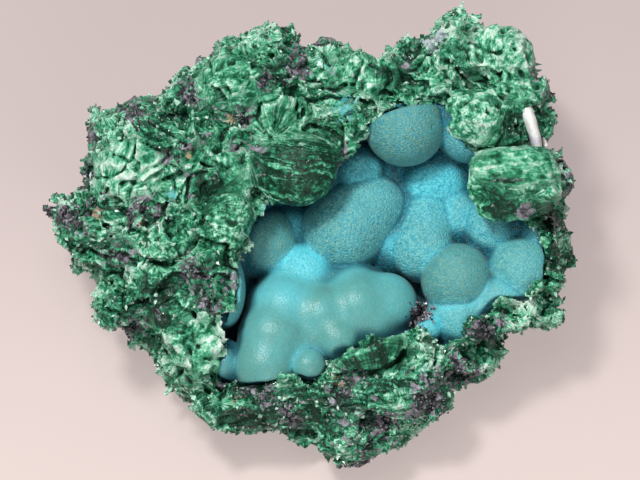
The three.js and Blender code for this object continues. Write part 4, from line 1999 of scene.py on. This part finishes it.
@dataclass(frozen=True)
class ChrysocollaFinish:
    """Sugary botryoidal chrysocolla, bright blue in the creases and grey-green on the weathered domes, with
    painted shade in gaps and nooks.
    """

    blue: Triple = (0.1, 0.6, 0.7)
    deep_blue: Triple = (0.015, 0.26, 0.36)
    painted_crevice_shade: Triple = (0.002, 0.04, 0.06)
    grey_green: Triple = (0.11, 0.32, 0.28)
    teal: Triple = (0.13, 0.47, 0.49)
    silk_green: Triple = (0.09, 0.29, 0.27)
    frost: Triple = (0.46, 0.7, 0.66)

    def build(self, effects: Effects) -> bpy.types.Material:
        """Builds the material.

        Args:
            effects: the shared effects.

        Returns:
            The material.
        """
        material, n, shader = new_material("chrysocolla")
        grains = n.place_effect(effects.grains, Size=0.27, Tilt=0.5)
        cloud = n.place_effect(effects.mottle, Size=2.8, Strength=0.6).outputs["Value"]
        swell = n.place_effect(effects.mottle, Size=0.9, Strength=1.0).outputs["Value"]
        crease, silk = n.span(n.fact("crease"), 1.1, 0.0), n.fact("silk")
        edge = n.span(n.fact("crease"), 0.36, 0.0)
        blueness = n.total((n.fact("weathered"), -1.0), (crease, 0.35), (n.fact("wall"), 0.3), (cloud, 1.0))
        blueness = n.math("ADD", blueness, 1.0, clamp=True)
        colour = n.ramp(blueness, ((0.0, self.grey_green), (0.4, self.teal), (0.95, self.blue)))
        colour = n.blend(n.math("MULTIPLY", silk, 0.5), colour, n.blend(blueness, self.silk_green, self.blue))
        # Painted shade: a thin line along each crease, tight gaps and nooks deep under the lobes are darkened
        # towards near black.
        gap, painted_nook_shade = n.span(n.fact("tight"), 0.64, 0.84), n.span(n.fact("deep"), 0.55, 0.71)
        painted_gap_shade = n.math("MAXIMUM", n.math("MAXIMUM", n.math("MULTIPLY", edge, 0.62), gap), painted_nook_shade)
        colour = n.blend(n.math("MULTIPLY", painted_gap_shade, 0.9), colour, self.painted_crevice_shade)
        speck = n.total((grains.outputs["Tone"], 0.5), (grains.outputs["Round"], 0.5))
        rough = n.math("SUBTRACT", 1.0, n.math("MULTIPLY", silk, 0.75))
        pit = n.math("MULTIPLY", n.span(speck, 0.55, 0.2), rough)
        colour = n.blend(n.math("MULTIPLY", pit, 0.6), colour, self.deep_blue)
        lit = n.math("MULTIPLY", n.span(speck, 0.6, 0.95), n.math("MULTIPLY", rough, 0.45))
        colour = n.blend(lit, colour, self.frost)
        height = n.total((n.math("MULTIPLY", grains.outputs["Round"], rough), 1.0), (swell, 0.5))
        bump = n.add("Bump", Strength=0.8, Distance=0.00013, Height=height)
        leaning = n.blend_vector(silk, grains.outputs["Normal"], n.add("NewGeometry").outputs["Normal"])
        n.feed(bump, "Normal", n.vector("NORMALIZE", leaning))
        n.feed(shader, "Base Color", colour)
        n.feed(shader, "Normal", bump.outputs["Normal"])
        n.feed(shader, "Roughness", n.span(silk, 0.0, 1.0, (0.5, 0.36)))
        shader.inputs["Specular IOR Level"].default_value = 0.32
        shader.inputs["Sheen Weight"].default_value = 0.05
        shader.inputs["Sheen Roughness"].default_value = 0.5
        return material


# ---------------------------------------------------------------- studio
@dataclass(frozen=True)
class Studio:
    """Pale floor that glows a little as painted light, soft lights and the camera."""

    elevation: float = 65.0
    distance: float = 0.925
    lens: float = 400.0
    aim: Triple = (0.00152, -0.00061, 0.012)
    painted_bright_floor_near: Triple = (0.72, 0.605, 0.575)
    painted_dim_floor_far: Triple = (0.52, 0.435, 0.43)

    def build(self) -> None:
        """Builds the floor, the lights and the camera."""
        self._floor()
        self._light("key", (-0.22, 0.1, 0.73), 0.13, 4.8, (1.0, 0.985, 0.96))
        self._light("panel", (-0.1, 0.0, 0.8), 0.5, 1.8, (1.0, 0.99, 0.98))
        self._light("fill", (0.06, -0.4, 0.28), 0.2, 0.62, (1.0, 0.98, 0.97))
        world = bpy.data.worlds.new("studio")
        world.use_nodes = True
        background = world.node_tree.nodes["Background"]
        background.inputs["Color"].default_value = (0.97, 0.96, 1.0, 1)
        background.inputs["Strength"].default_value = 0.24
        scene = bpy.context.scene
        scene.world = world
        scene.view_settings.view_transform = "Standard"
        data = bpy.data.cameras.new("camera")
        data.lens = self.lens
        data.sensor_width = 36.0
        data.clip_end = 10.0
        camera = bpy.data.objects.new("camera", data)
        tilt = math.radians(self.elevation)
        aim = Vector(self.aim)
        camera.location = aim + self.distance * Vector((0, -math.cos(tilt), math.sin(tilt)))
        camera.rotation_euler = (aim - camera.location).to_track_quat("-Z", "Y").to_euler()
        scene.collection.objects.link(camera)
        scene.camera = camera

    def _floor(self) -> None:
        """Builds the pale floor, painted brighter towards the camera and glowing with its own colour as
        painted light.
        """
        mesh = bpy.data.meshes.new("floor")
        s = 3.0
        mesh.from_pydata([(-s, -s, 0), (s, -s, 0), (s, s, 0), (-s, s, 0)], [], [(0, 1, 2, 3)])
        floor = bpy.data.objects.new("floor", mesh)
        material, n, shader = new_material("floor")
        place = n.millimetres()
        across = n.add("SeparateXYZ", Vector=place).outputs["Y"]
        far = n.math("MULTIPLY_ADD", n.noise(place, 0.02, 2.0), 20.0, across)
        # Painted light: the floor is lighter near the camera and darker far off.
        colour = n.blend(n.span(far, -45.0, 60.0), self.painted_bright_floor_near, self.painted_dim_floor_far)
        n.feed(shader, "Base Color", n.vector("SCALE", colour, 0.42))
        # Painted light: the floor glows with its own colour, so shadows on it stay weak.
        n.feed(shader, "Emission Color", colour)
        shader.inputs["Emission Strength"].default_value = 0.64
        shader.inputs["Roughness"].default_value = 0.9
        floor.data.materials.append(material)
        bpy.context.scene.collection.objects.link(floor)

    def _light(self, name: str, place: Triple, size: float, power: float, colour: Triple) -> None:
        """Adds one soft square light aimed at the specimen.

        Args:
            name: its name.
            place: where it stands, metres.
            size: its side, metres.
            power: watts.
            colour: its tint.
        """
        data = bpy.data.lights.new(name, "AREA")
        data.energy, data.size, data.color = power, size, colour
        light = bpy.data.objects.new(name, data)
        light.location = place
        light.rotation_euler = (Vector((0, 0, 0.015)) - Vector(place)).to_track_quat("-Z", "Y").to_euler()
        bpy.context.scene.collection.objects.link(light)


@dataclass(frozen=True)
class Crystals:
    """The small crystals that grow on the broken surface and in one pocket of the vug.

    Args:
        oxide: how many oxide crystals there are.
        pocket: how many of them fill the dark pocket.
        chips: how many pale malachite chips glint on the rock.
        emerald: how many clear green crystals stand at the front lip.
        pocket_at: where the pocket lies, across and up.
        emerald_at: where the clear green crystals stand.
        floor_gap: how far above the floor they start, millimetres.
        edge_oxide: how readily oxide grows along the stone's upper left edge.
    """

    oxide: int = 6400
    pocket: int = 420
    chips: int = 3200
    emerald: int = 150
    pocket_at: Pair = (14.3, -9.6)
    emerald_at: Pair = (15.3, -12.8)
    floor_gap: float = 1.2
    edge_oxide: float = 0.06

    def dress(self, face: FaceFrame, edge: np.ndarray, rim: Surface, vug: Surface, effects: Effects) -> None:
        """Grows every kind of crystal and dresses it.

        Args:
            face: the frame of the stone's face.
            edge: how near the outline each rim vertex lies, 0 to 1.
            rim: the broken rim.
            vug: the lining of the vug.
            effects: the shared effects.
        """
        facts = rim.facts
        clear = face.floor_field(rim.points[:, 1], rim.points[:, 2]) < -self.floor_gap
        broken = (facts["hollow"] < 0.6) * (1 - facts["calm"]) ** 2 * (1 - facts["grown"]) * clear
        oxide, green = OxideFinish().build(effects), ShardFinish().build(effects)
        dark = (facts["oxide"] ** 2 + self.edge_oxide * edge) * broken
        bright = (1 - facts["oxide"]) * broken * (rim.points[:, 2] > -1)
        in_pocket = self._near(vug, self.pocket_at, 1.1)
        at_lip = self._near(rim, self.emerald_at, 1.2) * (rim.points[:, 2] > 0)

        crystals = Grains("oxide_crystals", self.oxide, (0.1, 0.32), 0.75, 5)
        crystals.dress(crystals.surface(rim, dark), face, "oxide", oxide)
        pocket = Grains("pocket_crystals", self.pocket, (0.2, 0.5), 0.7, 6)
        pocket.dress(pocket.surface(vug, in_pocket), face, "oxide", oxide)
        chips = Grains("malachite_chips", self.chips, (0.16, 0.6), 0.6, 7)
        chips.dress(chips.surface(rim, bright), face, "malachite", green)
        emerald = Grains("emerald_crystals", self.emerald, (0.3, 0.7), 0.6, 8)
        emerald.dress(emerald.surface(rim, at_lip), face, "malachite", green)

    @staticmethod
    def _near(host: Surface, place: Pair, reach: float) -> np.ndarray:
        """How near each vertex lies to a place, 0 to 1, seen from the front."""
        away = np.hypot(host.points[:, 0] - place[0], host.points[:, 1] - place[1])
        return np.exp(-(away**2) / reach) + 1e-12


def main() -> None:
    """Builds the specimen's pieces in order and reports each."""
    logging.basicConfig(level=logging.INFO, format="%(name)s %(message)s")
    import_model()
    stone = Stone(StoneSize(), FaceFrame())
    effects = Effects()
    rock, lining, seam = Rock(stone), Lining(stone), CalciteSeam(stone)
    rim, vug = rock.rim(), lining.surface()
    rock.dress(rim, rock.back(), MalachiteFinish().build(effects))
    lining.dress(vug, ChrysocollaFinish().build(effects))
    seam.dress(seam.surface(), CalciteFinish().build(effects))

    Crystals().dress(stone.face, rock.left_edge(rim), rim, vug, effects)
    Studio().build()


if __name__ == "__main__":
    main()
